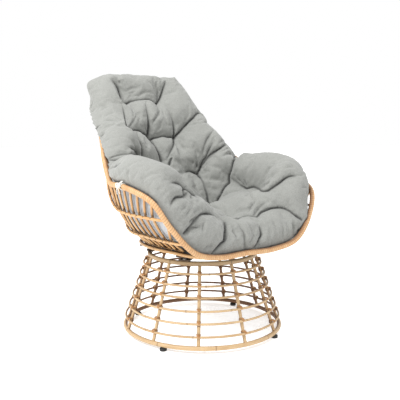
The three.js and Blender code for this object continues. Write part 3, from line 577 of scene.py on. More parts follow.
def fill_socket(tree, socket, value):
    """Links another node's output to a socket, or sets the socket's own value."""
    if isinstance(value, bpy.types.NodeSocket):
        tree.links.new(value, socket)
    else:
        socket.default_value = value


def add_node(tree, kind, inputs=None, **settings):
    node = tree.nodes.new(kind)
    for key, value in settings.items():
        setattr(node, key, value)
    for key, value in (inputs or {}).items():
        fill_socket(tree, node.inputs[key], value)
    return node


def colour(r, g, b):
    """A colour from screen values of 0 to 255."""
    def linear(c):
        c /= 255
        return c / 12.92 if c <= 0.04045 else ((c + 0.055) / 1.055) ** 2.4
    return (linear(r), linear(g), linear(b), 1.0)


def mix_colours(tree, factor, first, second):
    node = add_node(tree, "ShaderNodeMix", data_type="RGBA")
    for index, value in ((0, factor), (6, first), (7, second)):
        fill_socket(tree, node.inputs[index], value)
    return node.outputs[2]


def map_range(tree, value, low, high, to_low=0.0, to_high=1.0):
    return add_node(tree, "ShaderNodeMapRange", {"Value": value, "From Min": low, "From Max": high,
                                                 "To Min": to_low, "To Max": to_high}).outputs[0]


def maths(tree, operation, first, second):
    node = add_node(tree, "ShaderNodeMath", operation=operation)
    for socket, value in zip(node.inputs, (first, second)):
        fill_socket(tree, socket, value)
    return node.outputs[0]


def attribute(tree, name, output="Fac"):
    return add_node(tree, "ShaderNodeAttribute", attribute_name=name).outputs[output]


def weighted_sum(tree, *terms):
    """The sum of values, each times its weight."""
    total = None
    for value, weight in terms:
        value = maths(tree, "MULTIPLY", value, weight)
        total = value if total is None else maths(tree, "ADD", total, value)
    return total


def object_place(tree):
    return add_node(tree, "ShaderNodeTexCoord").outputs["Object"]


def scaled_noise(tree, vector, size, detail=2.0, rough=0.55, scale=(1, 1, 1)):
    mapping = add_node(tree, "ShaderNodeMapping", {"Vector": vector, "Scale": scale})
    return add_node(tree, "ShaderNodeTexNoise", {"Vector": mapping.outputs[0], "Scale": size,
                                                 "Detail": detail, "Roughness": rough}).outputs[0]


def set_surface(tree, shader, base, relief, values):
    """Links a surface's colour and its bump (height, strength, distance), and sets its other inputs."""
    height, strength, distance = relief
    bump = add_node(tree, "ShaderNodeBump", {"Height": height, "Strength": strength, "Distance": distance})
    for name, value in {"Base Color": base, "Normal": bump.outputs[0], **values}.items():
        fill_socket(tree, shader.inputs[name], value)


def cane_material(name, light, middle, shade, roughness=0.46, wrap=False, inner=0.94):
    """Rattan: lengthwise grain and darker nodes, with painted shade on the side that faces into the stand
    or basket, in the grooves of the wound rim and beside each joint.
    """
    material, tree, shader = new_material(name)
    grain = attribute(tree, "grain", "Vector")
    streaks = scaled_noise(tree, grain, 1.0, 4.0, 0.6, scale=(900, 900, 22))
    patches = scaled_noise(tree, grain, 1.0, scale=(30, 30, 16))
    pores = scaled_noise(tree, grain, 1.0, scale=(2600, 2600, 90))
    tone = weighted_sum(tree, (streaks, 0.6), (patches, 0.5), (attribute(tree, "tone"), 0.22))
    base = mix_colours(tree, map_range(tree, tone, 0.42, 0.86), light, middle)
    base = mix_colours(tree, map_range(tree, pores, 0.6, 0.75, 0.0, 0.35), base, shade)
    # Node marks hold the real node rings, the painted shade in the rim's grooves and the painted shadow
    # beside joints; inner marks hold the painted shade on the inward side
    for mark, share in (("node", 0.85), ("inner", inner)):
        base = mix_colours(tree, map_range(tree, attribute(tree, mark), 0, 1, 0, share), base, shade)
    height = weighted_sum(tree, (streaks, 1.0), (pores, 0.4))
    set_surface(tree, shader, base, (height, 0.35 if wrap else 0.28, 0.0006), {
        "Roughness": map_range(tree, streaks, 0.3, 0.7, roughness - 0.08, roughness + 0.12),
        "Coat Weight": 0.06, "Coat Roughness": 0.3,
    })
    return material


def steel_material(name, base_colour, roughness, metallic):
    """Painted or bare metal with fine grit and handling marks."""
    material, tree, shader = new_material(name)
    cloud = scaled_noise(tree, object_place(tree), 18.0, 4.0)
    grit = scaled_noise(tree, object_place(tree), 900.0)
    worn = tuple(min(c * 1.5 + 0.02, 1.0) for c in base_colour[:3]) + (1.0,)
    base = mix_colours(tree, map_range(tree, cloud, 0.45, 0.75, 0, 0.45), base_colour, worn)
    set_surface(tree, shader, base, (grit, 0.12, 0.0003), {
        "Roughness": map_range(tree, cloud, 0.3, 0.7, roughness, roughness + 0.15), "Metallic": metallic,
    })
    return material


def rubber_material():
    """Black rubber with fine grit and a little dust."""
    material, tree, shader = new_material("rubber_black")
    grit = scaled_noise(tree, object_place(tree), 1400.0)
    dust = scaled_noise(tree, object_place(tree), 60.0, 3.0)
    dusty = map_range(tree, dust, 0.5, 0.8, 0, 0.3)
    base = mix_colours(tree, dusty, colour(20, 20, 20), colour(58, 56, 53))
    set_surface(tree, shader, base, (grit, 0.2, 0.0003), {"Roughness": 0.62})
    return material


def cloth_material(name, light, dark, thread=0.0011, fuzz=0.2, shade=None, paler_cloth=None):
    """Woven cloth: two tones of yarn, slubs, the weave as relief, painted shade in the folds, underneath
    and along the rim, and paler cloth on the side that faces the ribs.
    """
    material, tree, shader = new_material(name)
    place = object_place(tree)
    heather = scaled_noise(tree, place, 700.0, 3.0, 0.7)
    slubs = scaled_noise(tree, place, 190.0, scale=(1, 3.4, 1))
    clouds = scaled_noise(tree, place, 9.0, 3.0)
    waves = [
        add_node(tree, "ShaderNodeTexWave", {"Vector": place, "Scale": 0.314 / thread, "Distortion": 1.2,
                                             "Detail": 1.0, "Detail Scale": 2.0},
                 wave_type="BANDS", bands_direction=axis).outputs["Fac"]
        for axis in "XYZ"
    ]
    tone = weighted_sum(tree, (heather, 0.75), (slubs, 0.45), (clouds, 0.2))
    base = mix_colours(tree, map_range(tree, tone, 0.45, 0.95), light, dark)
    if paler_cloth:
        base = mix_colours(tree, attribute(tree, "paler_cloth"), base, paler_cloth)
    # Painted shade: in the slits, in the contact shadow along the rim and under the pad
    if shade:
        base = mix_colours(tree, map_range(tree, attribute(tree, "painted_shade"), 0, 1, 0, 0.95), base, shade)
    weave = weighted_sum(tree, *((wave, 1.0) for wave in waves))
    height = weighted_sum(tree, (weave, 0.35), (heather, 0.8))
    set_surface(tree, shader, base, (height, 0.35, 0.0006),
                {"Roughness": 0.92, "Sheen Weight": fuzz, "Sheen Roughness": 0.5})
    return material


# A material's inner share sets how dark the painted shade on its inward side gets
RATTAN = cane_material("rattan", colour(200, 162, 112), colour(174, 127, 77), colour(60, 30, 11))
WRAPPED = cane_material("rattan_peel", colour(202, 166, 122), colour(182, 137, 92), colour(88, 48, 20),
                        roughness=0.5, wrap=True)
BAND = cane_material("rattan_band", colour(170, 144, 108), colour(140, 112, 76), colour(78, 52, 24),
                     inner=0.7)
STAND_CANE = cane_material("rattan_stand", colour(192, 166, 128), colour(164, 132, 92),
                           colour(92, 50, 18), inner=0.84)
LASHING = cane_material("rattan_lashing", colour(182, 138, 90), colour(154, 106, 60),
                        colour(80, 42, 16), inner=0.84)
DARK_STEEL = steel_material("steel_brown", colour(70, 52, 36), 0.42, 0.35)
BRIGHT_STEEL = steel_material("steel_bright", colour(206, 202, 192), 0.28, 0.95)
NAIL_STEEL = steel_material("steel_nail", colour(38, 24, 14), 0.4, 0.5)
RUBBER = rubber_material()
GREY_CLOTH = cloth_material("cloth_grey", colour(145, 146, 142), colour(111, 112, 108),
                            shade=colour(30, 31, 29), paler_cloth=colour(172, 175, 178))
COTTON = cloth_material("cotton_white", colour(246, 244, 238), colour(226, 223, 214), 0.0007, 0.1)


def dress(obj, body, slot, material, *nodes):
    """Gives a piece its material and body, and hides the CAD nodes that it stands for."""
    obj.data.materials.clear()
    obj.data.materials.append(material)
    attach(obj, body)
    if nodes:
        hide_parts(*nodes)
    return obj


# Canes

def inner_shade_share(places, centres, sides, middle):
    """How far each point of a skin faces the inside of the stand or basket, from 0 to 1, which sets its
    painted shade.
    """
    centres = np.repeat(np.asarray(centres), sides, axis=0)
    outward = unit(places - centres)
    away = centres - middle
    return smoothstep(*INNER_SHADE_FACING, -(outward * unit(away)).sum(-1))


def joint_shadow_marks(places, joints):
    """Painted shadow on a rib round each place where it passes behind a rod, from 0 to 1."""
    marks = np.zeros(len(places))
    for joint in joints:
        gap = np.linalg.norm(places - joint, axis=1)
        marks = np.maximum(marks, np.exp(-((gap / JOINT_SHADOW_REACH) ** 4)))
    return marks


def cane_stations(length, rng, loop=False):
    """Lengths along a cane to put rings at, with extra ones round each node, and the nodes."""
    nodes = []
    place = rng.uniform(0.25, 0.9) * CANE_NODE_GAP
    while place < length - CANE_END_ROOM:
        nodes.append(place)
        place += CANE_NODE_GAP * rng.uniform(0.8, 1.25)
    stations = list(np.linspace(0, length, max(int(length / CANE_STATION), 3), endpoint=not loop))
    for node in nodes:
        stations = [s for s in stations if abs(s - node) > CANE_NODE_ROOM]
        stations += [node + offset for offset in CANE_NODE_RINGS]
    return np.array(sorted(stations)), nodes


def cane(name, path, radius, body, nodes_replaced, middle, slot="rattan", material=None, seed=0,
         sides=CANE_SIDES, profile=None, joints=()):
    """One rattan cane along a path, with its nodes and slight unevenness."""
    rng = random.Random(seed)
    stations, nodes = cane_stations(path.length, rng, path.loop)
    phases = [rng.uniform(0, 2 * math.pi) for _ in range(3)]
    turns = stations / path.length * 2 * math.pi
    wobble = sum(size * np.sin(waves * turns + phase) for (size, waves), phase in zip(CANE_WOBBLES, phases))
    radii = radius * (1 + wobble)
    marks = np.zeros(len(stations))
    for node in nodes:
        gap = stations - node
        radii += radius * CANE_NODE_SWELL * np.exp(-((gap / CANE_NODE_REACH) ** 2))
        radii -= radius * CANE_NODE_DIP * np.exp(-((gap / CANE_DIP_REACH) ** 2))
        marks = np.maximum(marks, np.exp(-((gap / CANE_MARK_REACH) ** 2)))
    centres = path.at_length(stations)
    places, faces, grain = sweep(centres, radii, sides, path.loop, stations, profile=profile)
    attributes = {
        "grain": grain + [rng.uniform(0, 5), 0, rng.uniform(0, 5)],
        # The node marks also hold the painted shadow beside each joint
        "node": np.maximum(np.repeat(marks, sides), joint_shadow_marks(places, joints)),
        "tone": np.full(len(places), rng.random()),
        "inner": inner_shade_share(places, centres, sides, middle(centres, sides)),
    }
    obj = make_object(name, places, faces, attributes)
    return dress(obj, body, slot, material or RATTAN, *nodes_replaced)


def stand_middle(centres, sides):
    """The point of the stand's axis level with each ring of a cane."""
    level = np.repeat(np.asarray(centres), sides, axis=0).copy()
    level[:, :2] = AXIS[:2]
    return level


# Stand

def lean_angle():
    return math.atan2(FLOOR_RING_RADIUS - TOP_RING_RADIUS, TOP_RING_HEIGHT - FLOOR_RING_HEIGHT)


def upright_turns():
    first = math.radians(FIRST_UPRIGHT_ANGLE)
    return [first + 2 * math.pi * i / UPRIGHT_COUNT for i in range(UPRIGHT_COUNT)]


def on_stand(radius, turn, height):
    return AXIS + np.array([radius * math.cos(turn), radius * math.sin(turn), height])


def hoop_circle(share):
    """Height and radius of a hoop, which lies against the outside of the uprights."""
    height = TOP_RING_HEIGHT * share
    lean = lean_angle()
    inner = FLOOR_RING_RADIUS - (height - FLOOR_RING_HEIGHT) * math.tan(lean)
    return height, inner, inner + (UPRIGHT_RADIUS + CLEARANCE + HOOP_TUBE) / math.cos(lean)


def band_profile(turns):
    """The top ring is a little squarer than round."""
    cos, sin = np.abs(np.cos(turns)), np.abs(np.sin(turns))
    return (cos ** BAND_SQUARENESS + sin ** BAND_SQUARENESS) ** (-1 / BAND_SQUARENESS)


def build_stand_canes():
    floor = Path(circle(FLOOR_RING_RADIUS, FLOOR_RING_HEIGHT), loop=True)
    cane("floor_ring_cane", floor, RING_TUBE, "stand", ["floor_ring"], stand_middle,
         material=STAND_CANE, seed=1, sides=18)
    top = Path(circle(TOP_RING_RADIUS, TOP_RING_HEIGHT), loop=True)
    cane("top_ring_band", top, RING_TUBE, "stand", ["top_ring"], stand_middle, "top_band", BAND, seed=2,
         sides=24, profile=band_profile)
    for i, turn in enumerate(upright_turns()):
        low = on_stand(FLOOR_RING_RADIUS, turn, FLOOR_RING_HEIGHT)
        high = on_stand(TOP_RING_RADIUS, turn, TOP_RING_HEIGHT)
        inset = unit(high - low) * RING_TUBE * UPRIGHT_INSET_SHARE
        low, high = low + inset, high - inset
        cane(f"upright_cane_{i + 1}", Path([low, (low + high) / 2, high]), UPRIGHT_RADIUS,
             "stand", [f"upright_{i + 1}"], stand_middle, material=STAND_CANE, seed=10 + i)
    for i, share in enumerate(HOOP_HEIGHT_SHARES):
        height, _, radius = hoop_circle(share)
        hoop = Path(circle(radius, height), loop=True)
        cane(f"hoop_cane_{i + 1}", hoop, HOOP_TUBE, "stand", [f"hoop_{i + 1}"], stand_middle,
             material=STAND_CANE, seed=30 + i, sides=12)


def hull(points):
    """The convex outline of flat points, anticlockwise."""
    points = sorted(map(tuple, points))
    def half(run):
        chain = []
        for p in run:
            while len(chain) > 1 and (
                (chain[-1][0] - chain[-2][0]) * (p[1] - chain[-2][1])
                - (chain[-1][1] - chain[-2][1]) * (p[0] - chain[-2][0])
            ) <= 0:
                chain.pop()
            chain.append(p)
        return chain[:-1]
    return np.array(half(points) + half(points[::-1]))


def loop_round(sections, room, count=20):
    """An even loop of flat points round ellipses (middle x, middle y, half width, half depth)."""
    turns = np.linspace(0, 2 * math.pi, 40, endpoint=False)
    points = np.vstack([
        np.stack([x + (w + room) * np.cos(turns), y + (d + room) * np.sin(turns)], -1)
        for x, y, w, d in sections
    ])
    outline = hull(points)
    outline = np.vstack([outline, outline[:1]])
    walked = np.concatenate([[0], np.cumsum(np.linalg.norm(np.diff(outline, axis=0), axis=1))])
    even = np.linspace(0, walked[-1], count, endpoint=False)
    return np.stack([np.interp(even, walked, outline[:, k]) for k in range(2)], -1)


def strand(points, rng, radius=STRAND_RADIUS):
    """One closed turn of rattan peel."""
    places, faces, grain = sweep(points, radius, STRAND_SIDES, loop=True)
    count = len(places)
    attributes = {"grain": grain + rng.uniform(0, 3), "node": np.zeros(count),
                  "tone": np.full(count, rng.random()), "inner": np.zeros(count)}
    return places, faces, attributes


def lashing(middle, out, upward, level, rng):
    """Peel bound crosswise round an upright and the hoop on its outside."""
    parts = []
    hoop_out = UPRIGHT_RADIUS + CLEARANCE + HOOP_TUBE
    for sign, lift in ((1, LASHING_LIFTS[0]), (-1, LASHING_LIFTS[1])):
        angle = math.radians(sign * LASHING_ANGLE)
        across = level * math.cos(angle) + upward * math.sin(angle)
        normal = np.cross(out, across)
        sections = [(0, 0, UPRIGHT_RADIUS / math.cos(angle), UPRIGHT_RADIUS),
                    (0, hoop_out, HOOP_TUBE / math.sin(abs(angle)), HOOP_TUBE)]
        flat = loop_round(sections, STRAND_RADIUS * lift)
        for turn in range(LASHING_TURNS):
            shift = (turn - (LASHING_TURNS - 1) / 2) * LASHING_PITCH * STRAND_RADIUS
            shift += rng.uniform(-LASHING_UNEVEN, LASHING_UNEVEN)
            points = middle + flat[:, :1] * across + flat[:, 1:] * out + normal * shift
            parts.append(strand(points, rng))
    for side in (-1, 1):
        height = side * (HOOP_TUBE + STRAND_RADIUS * LASHING_END_RISE)
        flat = loop_round([(0, 0, UPRIGHT_RADIUS, UPRIGHT_RADIUS)], STRAND_RADIUS * LASHING_END_LIFT, 14)
        tilt = rng.uniform(-LASHING_END_TILT, LASHING_END_TILT)
        points = middle + flat[:, :1] * level + flat[:, 1:] * out
        parts.append(strand(points + upward * (height + tilt * flat[:, :1]), rng))
    return parts


def build_lashings():
    rng = random.Random(77)
    lean = lean_angle()
    for i, share in enumerate(HOOP_HEIGHT_SHARES):
        height, inner, _ = hoop_circle(share)
        parts = []
        for turn in upright_turns():
            out = np.array([math.cos(turn), math.sin(turn), 0])
            level = np.array([-math.sin(turn), math.cos(turn), 0])
            upward = unit(UP * math.cos(lean) - out * math.sin(lean))
            square_out = unit(np.cross(level, upward))
            parts += lashing(on_stand(inner, turn, height), square_out, upward, level, rng)
        places, faces, attributes = joined(parts)
        # Painted shade on the side of each lashing that faces into the stand
        depth = np.linalg.norm((places - AXIS)[:, :2], axis=1)
        facing = smoothstep(inner + LASHING_SHADE_START, inner - UPRIGHT_RADIUS, depth)
        attributes["inner"] = facing * LASHING_SHADE
        obj = make_object(f"lashings_{i + 1}", places, faces, attributes)
        dress(obj, "stand", "rattan", LASHING)


def turned_mesh(profile, sides=40):
    """A turned skin from radius and height pairs that start and end on the axis."""
    turns = np.arange(sides) / sides * 2 * math.pi
    places, faces = [(0, 0, profile[0][1])], []
    for radius, height in profile[1:-1]:
        places += [(radius * math.cos(t), radius * math.sin(t), height) for t in turns]
    places.append((0, 0, profile[-1][1]))
    rings = len(profile) - 2
    last = len(places) - 1
    for j in range(sides):
        side = (j + 1) % sides
        faces.append((0, 1 + side, 1 + j))
        for ring in range(rings - 1):
            a, b = 1 + ring * sides, 1 + (ring + 1) * sides
            faces.append((a + j, a + side, b + side, b + j))
        faces.append((1 + (rings - 1) * sides + j, 1 + (rings - 1) * sides + side, last))
    return np.array(places, float), faces


def build_feet():
    for i in range(FOOT_COUNT):
        turn = math.radians(FIRST_FOOT_ANGLE + 360 / FOOT_COUNT * i)
        places, faces = turned_mesh(FOOT_PROFILE)
        obj = make_object(f"rubber_foot_{i + 1}", places + on_stand(FLOOR_RING_RADIUS, turn, 0), faces)
        dress(obj, "stand", "rubber", RUBBER, f"foot_{i + 1}")


def build_bolts():
    base = ARM_TOP + CLEARANCE
    profile = [(0, base - BOLT_SHANK_DEPTH)]
    profile += [(BOLT_SHANK_RADIUS, base - BOLT_SHANK_DEPTH), (BOLT_SHANK_RADIUS, base)]
    profile += [(BOLT_HEAD_RADIUS * out, base + rise * BOLT_HEAD_HEIGHT) for out, rise in BOLT_HEAD_SHARES]
    for i, angle in enumerate([ARM_ANGLE, ARM_ANGLE + 180, 180 - ARM_ANGLE, 360 - ARM_ANGLE]):
        turn = math.radians(angle)
        places, faces = turned_mesh(profile)
        obj = make_object(f"bolt_{i + 1}", places + on_stand(TOP_RING_RADIUS, turn, 0), faces)
        dress(obj, "stand", "bright_steel", BRIGHT_STEEL, f"arm_bolt_{i + 1}")


def dress_cad_nodes():
    """The swivel's plates, race and pin keep their CAD shape and get a finish."""
    for names, material in ((("stand_swivel_plate", "seat_swivel_plate"), DARK_STEEL),
                            (("ball_race", "king_pin"), BRIGHT_STEEL)):
        for name in names:
            obj = frame["nodes"][name]
            obj.data.materials.clear()
            obj.data.materials.append(material)


# Basket

def place(share):
    x, y, z = share
    return AXIS + np.array([HALF_WIDTH * x, BACK_REACH * y, SEAT_RING_HEIGHT + BASKET_HEIGHT * z])


def flip(point):
    return point * np.array([-1, 1, 1])


RIM_HALF = [place(s) for s in RIM_SHARES]
RIM_PATH = Path(RIM_HALF + [flip(p) for p in RIM_HALF[1:-1][::-1]], loop=True)
BOWL_MIDDLE = place((0, BOWL_MIDDLE_SHARE, 0.5))


def rim_at(share):
    return RIM_PATH.at(share / 2)


def rod_path(shares, joint_share):
    half = [rim_at(joint_share)] + [place(s) for s in shares]
    return Path(half + [flip(p) for p in half[:-1][::-1]])


UPPER_PATH = rod_path(UPPER_ROD_SHARES, RIM_JOINT_SHARES["upper"])
LOWER_PATH = rod_path(LOWER_ROD_SHARES, RIM_JOINT_SHARES["lower"])
RING_PATH = rod_path(SEAT_RING_SHARES, RIM_JOINT_SHARES["ring"])
RIB_PATHS = [(UPPER_PATH, "upper", ROD_RADIUS), (LOWER_PATH, "lower", ROD_RADIUS),
             (RING_PATH, "ring", SEAT_RING_TUBE)]


def rib_share(name, index):
    if index < 1 and name in FRONT_RIB_SHARES:
        return FRONT_RIB_SHARES[name]
    along = (index - 1) / (RIB_COUNT - 1 - 1 / 2)
    start = RIB_START_SHARES[name]
    return start + (1 - start) * along * (1 + RIB_CROWD_SHARES[name] * (along - 1))


def rib_leg(index):
    """The places of one leg of a rib, from the rim to the seat ring, and its crossings with the rods."""
    crossed = RIB_PATHS[1:] if index < 1 else RIB_PATHS
    top = rim_at(rib_share("rim", index))
    on_path = [path.at(rib_share(name, index) / 2) for path, name, _ in crossed]
    points = [top] + on_path
    seats, crossings = [], []
    for i, (path, name, radius) in enumerate(crossed):
        along = points[i] - points[min(i + 2, len(crossed))]
        inward = unit(np.cross(along, path.tangent(rib_share(name, index) / 2)))
        if inward.dot(BOWL_MIDDLE - on_path[i]) < 0:
            inward = -inward
        seats.append(on_path[i] + inward * (radius + RIB_SLACK + RIB_RADIUS))
        crossings.append((on_path[i], inward, radius, unit(points[i] - on_path[i])))
    leg = Path([top] + seats)
    steps = len(seats) * RIB_LEG_STEPS
    samples = [leg.index_point(i / steps) for i in range(steps + 1)]
    return samples, crossings


def basket_middle(_centres, _sides):
    return BOWL_MIDDLE


def build_rods():
    for name, path, radius, seed, sides in (
        ("upper_rod", UPPER_PATH, ROD_RADIUS, 40, CANE_SIDES),
        ("lower_rod", LOWER_PATH, ROD_RADIUS, 41, CANE_SIDES),
        ("seat_ring", RING_PATH, SEAT_RING_TUBE, 42, 18),
    ):
        cane(f"{name}_cane", path, radius, "seat", [name], basket_middle, seed=seed, sides=sides)


def build_rim():
    """The rim is wound with flat peel: one ridge for each turn."""
    turns = int(RIM_PATH.length / WRAP_PITCH)
    pitch = RIM_PATH.length / turns
    shares, drops = np.array(WRAP_PROFILE).T
    stations = (np.arange(turns)[:, None] * pitch + shares[None] * pitch).ravel()
    rng = random.Random(5)
    heights = np.repeat([rng.uniform(-WRAP_UNEVEN, WRAP_UNEVEN) for _ in range(turns)], len(shares))
    radii = RIM_RADIUS - WRAP_SINK + heights - WRAP_GROOVE * np.tile(drops, turns)
    centres = RIM_PATH.at_length(stations)
    places, faces, grain = sweep(centres, radii, RIM_SIDES, True, stations, slants=WRAP_SLANT)
    attributes = {
        "grain": grain[:, [2, 1, 0]],
        # Painted shade in the grooves between turns of peel, and on the side that faces into the basket
        "node": np.repeat(np.tile(drops ** 2, turns), RIM_SIDES) * WRAP_GROOVE_SHADE,
        "tone": np.repeat([rng.random() for _ in range(turns)], len(shares) * RIM_SIDES),
        "inner": inner_shade_share(places, centres, RIM_SIDES, BOWL_MIDDLE) * WRAP_INNER_SHADE,
    }
    obj = make_object("rim_wrapped", places, faces, attributes)
    dress(obj, "seat", "wrapped_rim", WRAPPED, "rim")


def nail_head(middle, out):
    """A small domed head that looks along out."""
    out = unit(out)
    side = unit(np.cross(out, UP))
    across = np.cross(out, side)
    places, faces = turned_mesh([(NAIL_RADIUS * share, height) for share, height in NAIL_PROFILE], 10)
    return middle + places[:, :1] * side + places[:, 1:2] * across + places[:, 2:] * out, faces, {}


def build_ribs():
    legs = [rib_leg(i) for i in range(RIB_COUNT)]
    for i in range(0, RIB_COUNT, 2):
        samples = legs[i][0] + legs[i + 1][0][::-1]
        inside = RIM_RADIUS * RIB_END_SHARE
        samples[0] = samples[0] + unit(samples[1] - samples[0]) * inside
        samples[-1] = samples[-1] + unit(samples[-2] - samples[-1]) * inside
        label = i // 2 + 1
        # Painted shadow on each rib just above the rods it passes behind
        joints = [middle + inward * (radius + RIB_RADIUS) + upward * (radius + JOINT_SHADOW_RISE)
                  for leg in legs[i:i + 2] for middle, inward, radius, upward in leg[1]]
        for name, turned in ((f"rib_right_{label}", np.array), (f"rib_left_{label}", flip)):
            cane(f"{name}_cane", Path([turned(p) for p in samples]), RIB_RADIUS, "seat", [name],
                 basket_middle, seed=60 + i + len(name), sides=12, joints=[turned(p) for p in joints])
    nails = []
    for _, crossings in legs:
        for middle, inward, radius, upward in crossings[:-1]:
            out = unit(-inward * NAIL_OUTWARD + upward * NAIL_UPWARD)
            for point, direction in ((middle, out), (flip(middle), flip(out))):
                nails.append(nail_head(point + direction * (radius + NAIL_LIFT), direction))
    places, faces, _ = joined(nails)
    dress(make_object("rib_nails", places, faces), "seat", "dark_steel", NAIL_STEEL)
    return legs


# Pad

def mesh_arrays(mesh):
    places = np.empty(len(mesh.vertices) * 3)
    mesh.vertices.foreach_get("co", places)
    edges = np.empty(len(mesh.edges) * 2, int)
    mesh.edges.foreach_get("vertices", edges)
    return places.reshape(-1, 3), edges.reshape(-1, 2)


def set_places(mesh, places):
    mesh.vertices.foreach_set("co", np.asarray(places, float).ravel())
    mesh.update()


def vertex_normals(mesh):
    normals = np.empty(len(mesh.vertices) * 3)
    mesh.vertices.foreach_get("normal", normals)
    return normals.reshape(-1, 3)


def neighbour_mean(values, edges):
    count = len(values)
    ends = np.concatenate([edges[:, 0], edges[:, 1]])
    others = np.concatenate([edges[:, 1], edges[:, 0]])
    degree = np.maximum(np.bincount(ends, minlength=count), 1)
    return np.stack([np.bincount(ends, values[others, k], count) / degree for k in range(3)], -1)


def smoothed(places, edges, rounds):
    """Smooths without shrinking."""
    for _ in range(rounds):
        places = places + SMOOTH_INWARD * (neighbour_mean(places, edges) - places)
        places = places - SMOOTH_OUTWARD * (neighbour_mean(places, edges) - places)
    return places


def line_of_sight(x, y):
    """From the camera through a place of the photograph's frame."""
    camera = bpy.context.scene.camera
    half = CAMERA_SENSOR / 2 / CAMERA_LENS
    looks = Vector(((x - PHOTO_HALF) / PHOTO_HALF * half, (PHOTO_HALF - y) / PHOTO_HALF * half, -1))
    looks.rotate(camera.rotation_euler)
    return camera.location.copy(), looks.normalized()


def seen_on(tree, x, y):
    """The place on the skin that shows at x, y, or the skin nearest to that line of sight."""
    eye, looks = line_of_sight(x, y)
    hit = tree.ray_cast(eye, looks)[0]
    if hit is None:
        near = [tree.find_nearest(eye + looks * step * 0.01) for step in range(*SIGHT_RANGE)]
        hit = min(near, key=lambda found: found[3])[0]
    return np.array(hit)


def reshaped(places, tree):
    """The skin with each pull's bulge or hollow, seen square to the line of sight."""
    camera = bpy.context.scene.camera
    across, upward = Vector((1, 0, 0)), Vector((0, 1, 0))
    for axis in (across, upward):
        axis.rotate(camera.rotation_euler)
    result = places.copy()
    for x, y, right, up, reach in PULLS:
        centre = seen_on(tree, x, y)
        distance = (Vector(centre) - camera.location).length
        unit_size = distance * CAMERA_SENSOR / 2 / CAMERA_LENS / PHOTO_HALF
        share = np.exp(-(((places - centre) ** 2).sum(-1)) / reach**2)
        result += share[:, None] * np.array(across * right + upward * up) * unit_size
    return result


def modified(mesh, kind, **settings):
    """A mesh with one of Blender's modifiers applied."""
    obj = bpy.data.objects.new("pad_step", mesh)
    bpy.context.scene.collection.objects.link(obj)
    modifier = obj.modifiers.new("step", kind)
    for key, value in settings.items():
        setattr(modifier, key, value)
    graph = bpy.context.evaluated_depsgraph_get()
    result = bpy.data.meshes.new_from_object(obj.evaluated_get(graph))
    bpy.data.objects.remove(obj)
    return result


def skin_tree(places, faces):
    return BVHTree.FromPolygons([Vector(p) for p in places], faces)


def crease_lines(tree):
    """Every crease and fold as places on the skin with their depths, and whether it is a crease."""
    traced = [(name, points, True) for name, points in CREASES.items()]
    traced += [(name, points, False) for name, group in FOLDS.items() for points in group]
    lines = []
    for name, points, is_crease in traced:
        rows = finer(np.array([[*seen_on(tree, x, y), depth * MM] for x, y, depth in points]))
        lines.append((rows, is_crease))
        if is_crease and name in MIRRORED_CREASES:
            lines.append((rows * [-1, 1, 1, 1], is_crease))
    return [(snapped(rows, tree), is_crease) for rows, is_crease in lines]


def snapped(rows, tree):
    """The places of a line, moved onto the nearest skin."""
    feet = [tree.find_nearest(Vector(row[:3]))[0] for row in rows]
    return np.column_stack([np.array(feet), rows[:, 3]])


def finer(rows):
    """A line's rows, spread evenly at about one step."""
    path = Path(rows[:, :3])
    knots = np.arange(len(rows)) * Path.SPAN_STEPS
    walked = path.walked[knots]
    even = np.linspace(0, path.length, max(int(path.length / LINE_STEP), 2))
    return np.column_stack([path.at_length(even), np.interp(even, walked, rows[:, 3])])


def line_gaps(places, rows, reach):
    """Which places lie within reach of a line, how far off they are, and the line's depth there."""
    low, high = rows[:, :3].min(0) - reach, rows[:, :3].max(0) + reach
    near = np.where(((places > low) & (places < high)).all(1))[0]
    if not len(near):
        return near, np.zeros(0), np.zeros(0)
    squares = ((places[near, None] - rows[None, :, :3]) ** 2).sum(-1)
    index = squares.argmin(1)
    gap = np.sqrt(squares[np.arange(len(near)), index])
    kept = gap < reach
    return near[kept], gap[kept], rows[index[kept], 3]


def carried_line(rows, index, shifts):
    """A line's rows, moved as the skin's nearest places moved."""
    return np.column_stack([rows[:, :3] + shifts[index], rows[:, 3]])


def merged(total, near, depth):
    total[near] = (total[near] ** 3 + depth ** 3) ** (1 / 3)


def broad_depths(places, lines):
    """How deep the creases' broad flanks draw each place in, and how near each crease's bottom is."""
    total, nearest = np.zeros(len(places)), np.ones(len(places))
    for rows, is_crease in lines:
        if is_crease:
            near, gap, depth = line_gaps(places, rows, CREASE_REACH)
            merged(total, near, CREASE_BROAD_SHARE * depth * (1 - gap / CREASE_REACH) ** 2)
            nearest[near] = np.minimum(nearest[near], np.where(depth > DEEP_CREASE, gap, 1.0))
    return total, nearest


def slit_depths(places, lines):
    """The narrow slits of creases and the shallow troughs of folds, and the painted shade at their bottoms.
    """
    total, painted_shade = np.zeros(len(places)), np.zeros(len(places))
    for rows, is_crease in lines:
        reach = SLIT_END * SLIT_REACH if is_crease else FOLD_REACH
        near, gap, depth = line_gaps(places, rows, reach)
        if is_crease:
            merged(total, near, SLIT_SHARE * depth * np.exp(-gap / SLIT_REACH))
        else:
            merged(total, near, FOLD_SHARE * depth * (1 - gap / reach) ** FOLD_POWER)
        mark = np.exp(-((gap / CREASE_SHADE_REACH) ** 2)) * smoothstep(*CREASE_SHADE_DEPTHS, depth)
        painted_shade[near] = np.maximum(painted_shade[near], mark)
    return total, painted_shade


